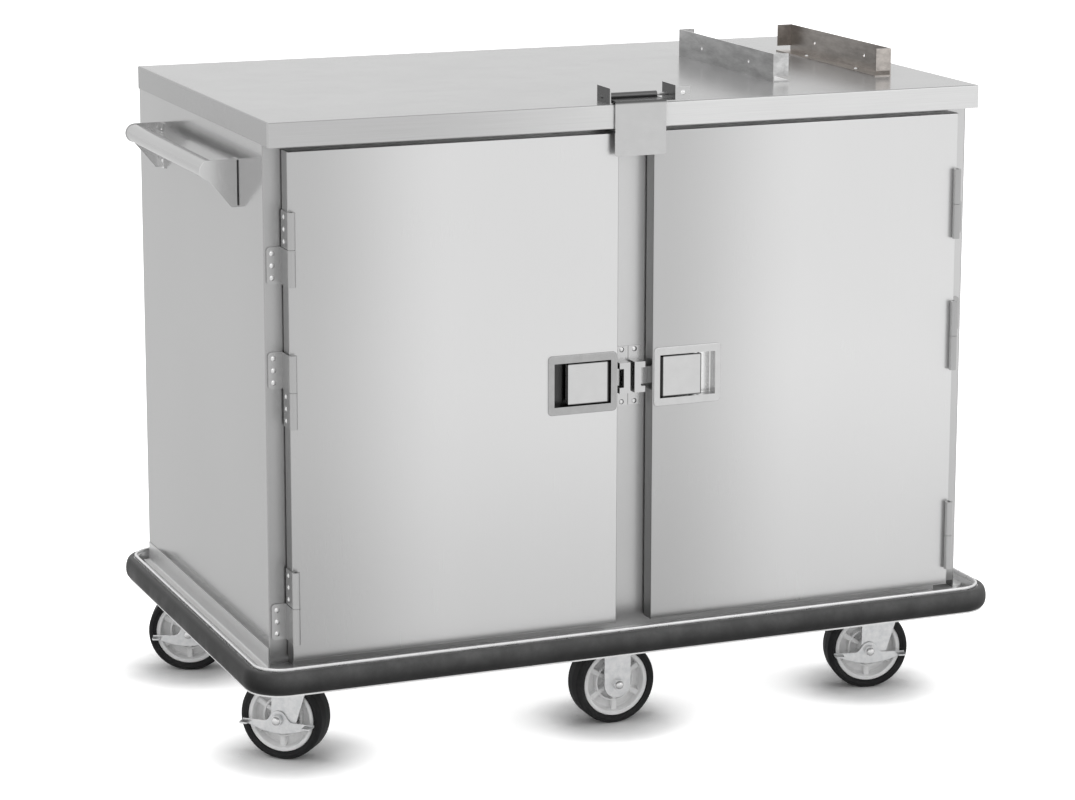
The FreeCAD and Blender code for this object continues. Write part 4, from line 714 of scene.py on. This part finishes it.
def make_brake(name, matrix):
    """Rocker brake pedal: pressed plate with slim arms and a foot tab at each end."""
    tool = bmesh.new()
    steps = 44
    rows = []
    for i in range(steps + 1):
        x = -BRAKE_SPAN + 2 * BRAKE_SPAN * i / steps
        share = abs(x) / BRAKE_SPAN
        low = BRAKE_BELLY + (BRAKE_TIP - BRAKE_BELLY - TAB_THICK / 2) * share ** 1.8
        high = max(brake_top(x), low + TAB_THICK)
        corners = ((BRAKE_INNER, low), (BRAKE_INNER, high), (BRAKE_OUTER, high), (BRAKE_OUTER, low))
        rows.append([tool.verts.new(matrix @ Vector((x, y, z))) for y, z in corners])
    join_rings(tool, rows)
    for way in (-1, 1):
        add_tab(tool, matrix, way)
    piece = new_piece("brake_plate_" + name, tool, "zinc_metal", "brake_" + name, 30)
    edge = piece.modifiers.new("edge", "BEVEL")
    edge.width = 0.0006
    edge.segments = 2
    edge.limit_method = "ANGLE"
    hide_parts("brake_pedal_" + name)


def add_tab(tool, matrix, way):
    """Foot tab folded out from one end of the pedal, rounded at its corners."""
    inner, outer = way * (BRAKE_SPAN - TAB_LONG), way * BRAKE_SPAN
    turn = BRAKE_REACH + TAB_CORNER
    outline = [(inner, BRAKE_INNER), (outer, BRAKE_INNER)]
    outline += [(outer - way * (TAB_CORNER - x), turn - y)
                for x, y in arc((0.0, 0.0), TAB_CORNER, 0, 90, 4)]
    outline += [(inner + way * (TAB_CORNER - x), turn - y)
                for x, y in arc((0.0, 0.0), TAB_CORNER, 90, 0, 4)]
    join_rings(tool, [[tool.verts.new(matrix @ Vector((x, y, z))) for x, y in outline]
                      for z in (BRAKE_TIP - TAB_THICK / 2, BRAKE_TIP + TAB_THICK / 2)])


def make_axle_dome(name, matrix, seat, body):
    """Dome that makes the axle's hexagon nut a cap nut."""
    centre, radius, tall, flare = 0.0002, 0.0076, 0.0048, 0.0004
    start = seat - NUT_TALL + SKIN
    foot = start - 0.0006
    profile = [(centre, start), (radius + flare, start), (radius, foot)]
    profile += [(radius * math.cos(math.radians(a)), foot - tall * math.sin(math.radians(a)))
                for a in (15, 30, 45, 60, 75, 86)]
    profile += [(centre, foot - tall)]
    tool = bmesh.new()
    lathe(tool, profile, 32, matrix)
    new_piece("axle_dome_" + name, tool, "bright_metal", body, 35)


for wheel in SWIVELS + FIXED:
    spot = wheel_matrix(f"wheel_{wheel}_spin")
    make_tyre(wheel, spot)
    make_wheel_centre(wheel, spot)
    if wheel in SWIVELS:
        make_brake(wheel, spot)
        make_axle_dome(wheel, spot, SWIVEL_SEAT, "swivel_" + wheel)
    else:
        make_axle_dome(wheel, spot, FIXED_SEAT, "cart")


# ---- end handles ---------------------------------------------------------

def make_handle_tubes():
    """Round tubes between the handle brackets, closed by them at both ends."""
    low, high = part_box("end_handles")
    radius, half = (high.z - low.z) / 2, (high.y - low.y) / 2
    bore = radius - 0.002
    profile = [(bore, -half), (radius, -half), (radius, half), (bore, half)]
    tool = bmesh.new()
    for side in SIDES.values():
        centre = Vector((side * (high.x - radius), (low.y + high.y) / 2, (low.z + high.z) / 2))
        lathe(tool, profile, 64, Matrix.Translation(centre))
    piece = new_piece("handle_tubes", tool, "grip_steel", "cart", 40)
    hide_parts("end_handles")


make_handle_tubes()


# ---- studio --------------------------------------------------------------

FLOOR_REACH = 60.0
CAMERA_GLOW = 0.85
GLOSSY_GLOW = 0.2
CONTACT_REACH = 0.15
CONTACT_POWER = 8.0
SOFT_WORLD = 0.86

# The photograph's frame and the fitted camera, in its pixels, degrees and metres.
PHOTO_WIDE = 1075.0
PHOTO_TALL = 800.0
FOCAL_PIXELS = 3370.0
VIEW_CENTRE = (609.1, 310.0)
CAMERA_YAW = 23.34
CAMERA_PITCH = 11.42
CAMERA_ROLL = 0.31
CAMERA_PLACE = (-2.285, -5.562, 1.907)
SENSOR_WIDE = 36.0


def make_floor():
    """Pale floor, white to the camera, whose glow fades by ambient occlusion close to what stands on
    it:
    a painted contact shadow on top of the shadows that it keeps."""
    corners = [(x * FLOOR_REACH, y * FLOOR_REACH, 0) for x, y in ((-1, -1), (1, -1), (1, 1), (-1, 1))]
    data = bpy.data.meshes.new("floor")
    data.from_pydata(corners, [], [(0, 1, 2, 3)])
    floor = bpy.data.objects.new("floor", data)
    bpy.context.collection.objects.link(floor)
    paint = Shader("floor_paint")
    tree = paint.tree
    rays = add_node(tree, "ShaderNodeLightPath", {}).outputs
    glow = arithmetic(tree, "ADD",
                      arithmetic(tree, "MULTIPLY", rays["Is Camera Ray"], CAMERA_GLOW),
                      arithmetic(tree, "MULTIPLY", rays["Is Glossy Ray"], GLOSSY_GLOW))
    # Painted contact shadow: ambient occlusion fades the glow close to what stands on the floor.
    near = add_node(tree, "ShaderNodeAmbientOcclusion", {"Distance": CONTACT_REACH}, samples=8)
    contact = arithmetic(tree, "POWER", near.outputs["AO"], CONTACT_POWER)
    grain = add_node(tree, "ShaderNodeTexNoise", {"Scale": 3.0})
    paint.set(Base_Color=paint.blend(grain.outputs["Fac"], grey(0.83), grey(0.86)),
              Roughness=0.9, Specular_IOR_Level=0.1, Emission_Color=grey(1.0),
              Emission_Strength=arithmetic(tree, "MULTIPLY", glow, contact))
    data.materials.append(paint.material)


def make_world():
    """Even pale surroundings, white where the camera, metal or glass sees them."""
    world = bpy.data.worlds.new("studio")
    bpy.context.scene.world = world
    world.use_nodes = True
    tree = world.node_tree
    tree.nodes.clear()
    rays = add_node(tree, "ShaderNodeLightPath", {}).outputs
    seen = rays["Is Camera Ray"]
    for ray in ("Is Glossy Ray", "Is Transmission Ray"):
        seen = arithmetic(tree, "MAXIMUM", seen, rays[ray])
    soft = add_node(tree, "ShaderNodeBackground", {"Color": grey(SOFT_WORLD), "Strength": 1.0})
    white = add_node(tree, "ShaderNodeBackground", {"Color": grey(1.0), "Strength": 1.0})
    mix = add_node(tree, "ShaderNodeMixShader", {0: seen, 1: soft.outputs[0], 2: white.outputs[0]})
    add_node(tree, "ShaderNodeOutputWorld", {"Surface": mix.outputs[0]})


def add_lamp(name, place, target, size, power):
    """Soft box at a place, turned to a target. The camera doesn't see the box itself."""
    data = bpy.data.lights.new(name, "AREA")
    data.shape = "RECTANGLE"
    data.size, data.size_y = size
    data.energy = power
    lamp = bpy.data.objects.new(name, data)
    lamp.location = place
    lamp.rotation_euler = (Vector(target) - Vector(place)).to_track_quat("-Z", "Y").to_euler()
    lamp.visible_camera = False
    bpy.context.collection.objects.link(lamp)


def make_camera():
    """Camera worked out from the photograph's edges."""
    yaw, pitch, roll = (math.radians(a) for a in (CAMERA_YAW, CAMERA_PITCH, CAMERA_ROLL))
    data = bpy.data.cameras.new("camera")
    data.sensor_width = SENSOR_WIDE
    data.lens = SENSOR_WIDE * FOCAL_PIXELS / PHOTO_WIDE
    data.shift_x = (PHOTO_WIDE / 2 - VIEW_CENTRE[0]) / PHOTO_WIDE
    data.shift_y = (VIEW_CENTRE[1] - PHOTO_TALL / 2) / PHOTO_WIDE
    data.clip_end = 100.0
    camera = bpy.data.objects.new("camera", data)
    ahead = Vector((math.sin(yaw) * math.cos(pitch), math.cos(yaw) * math.cos(pitch), -math.sin(pitch)))
    right = Vector((math.cos(yaw), -math.sin(yaw), 0.0))
    up = right.cross(ahead)
    level = right * math.cos(roll) + up * math.sin(roll)
    upright = up * math.cos(roll) - right * math.sin(roll)
    turn = Matrix((level, upright, -ahead)).transposed().to_4x4()
    camera.matrix_world = Matrix.Translation(CAMERA_PLACE) @ turn
    bpy.context.collection.objects.link(camera)
    bpy.context.scene.camera = camera


make_floor()
make_world()
make_camera()
add_lamp("key_softbox", (3.4, -3.8, 3.4), (0.1, 0.0, 0.5), (3.8, 3.0), 24.0)
add_lamp("fill_softbox", (-3.2, -3.6, 3.8), (0.0, 0.0, 0.5), (3.2, 2.8), 18.0)

bpy.context.scene.view_settings.view_transform = "Standard"
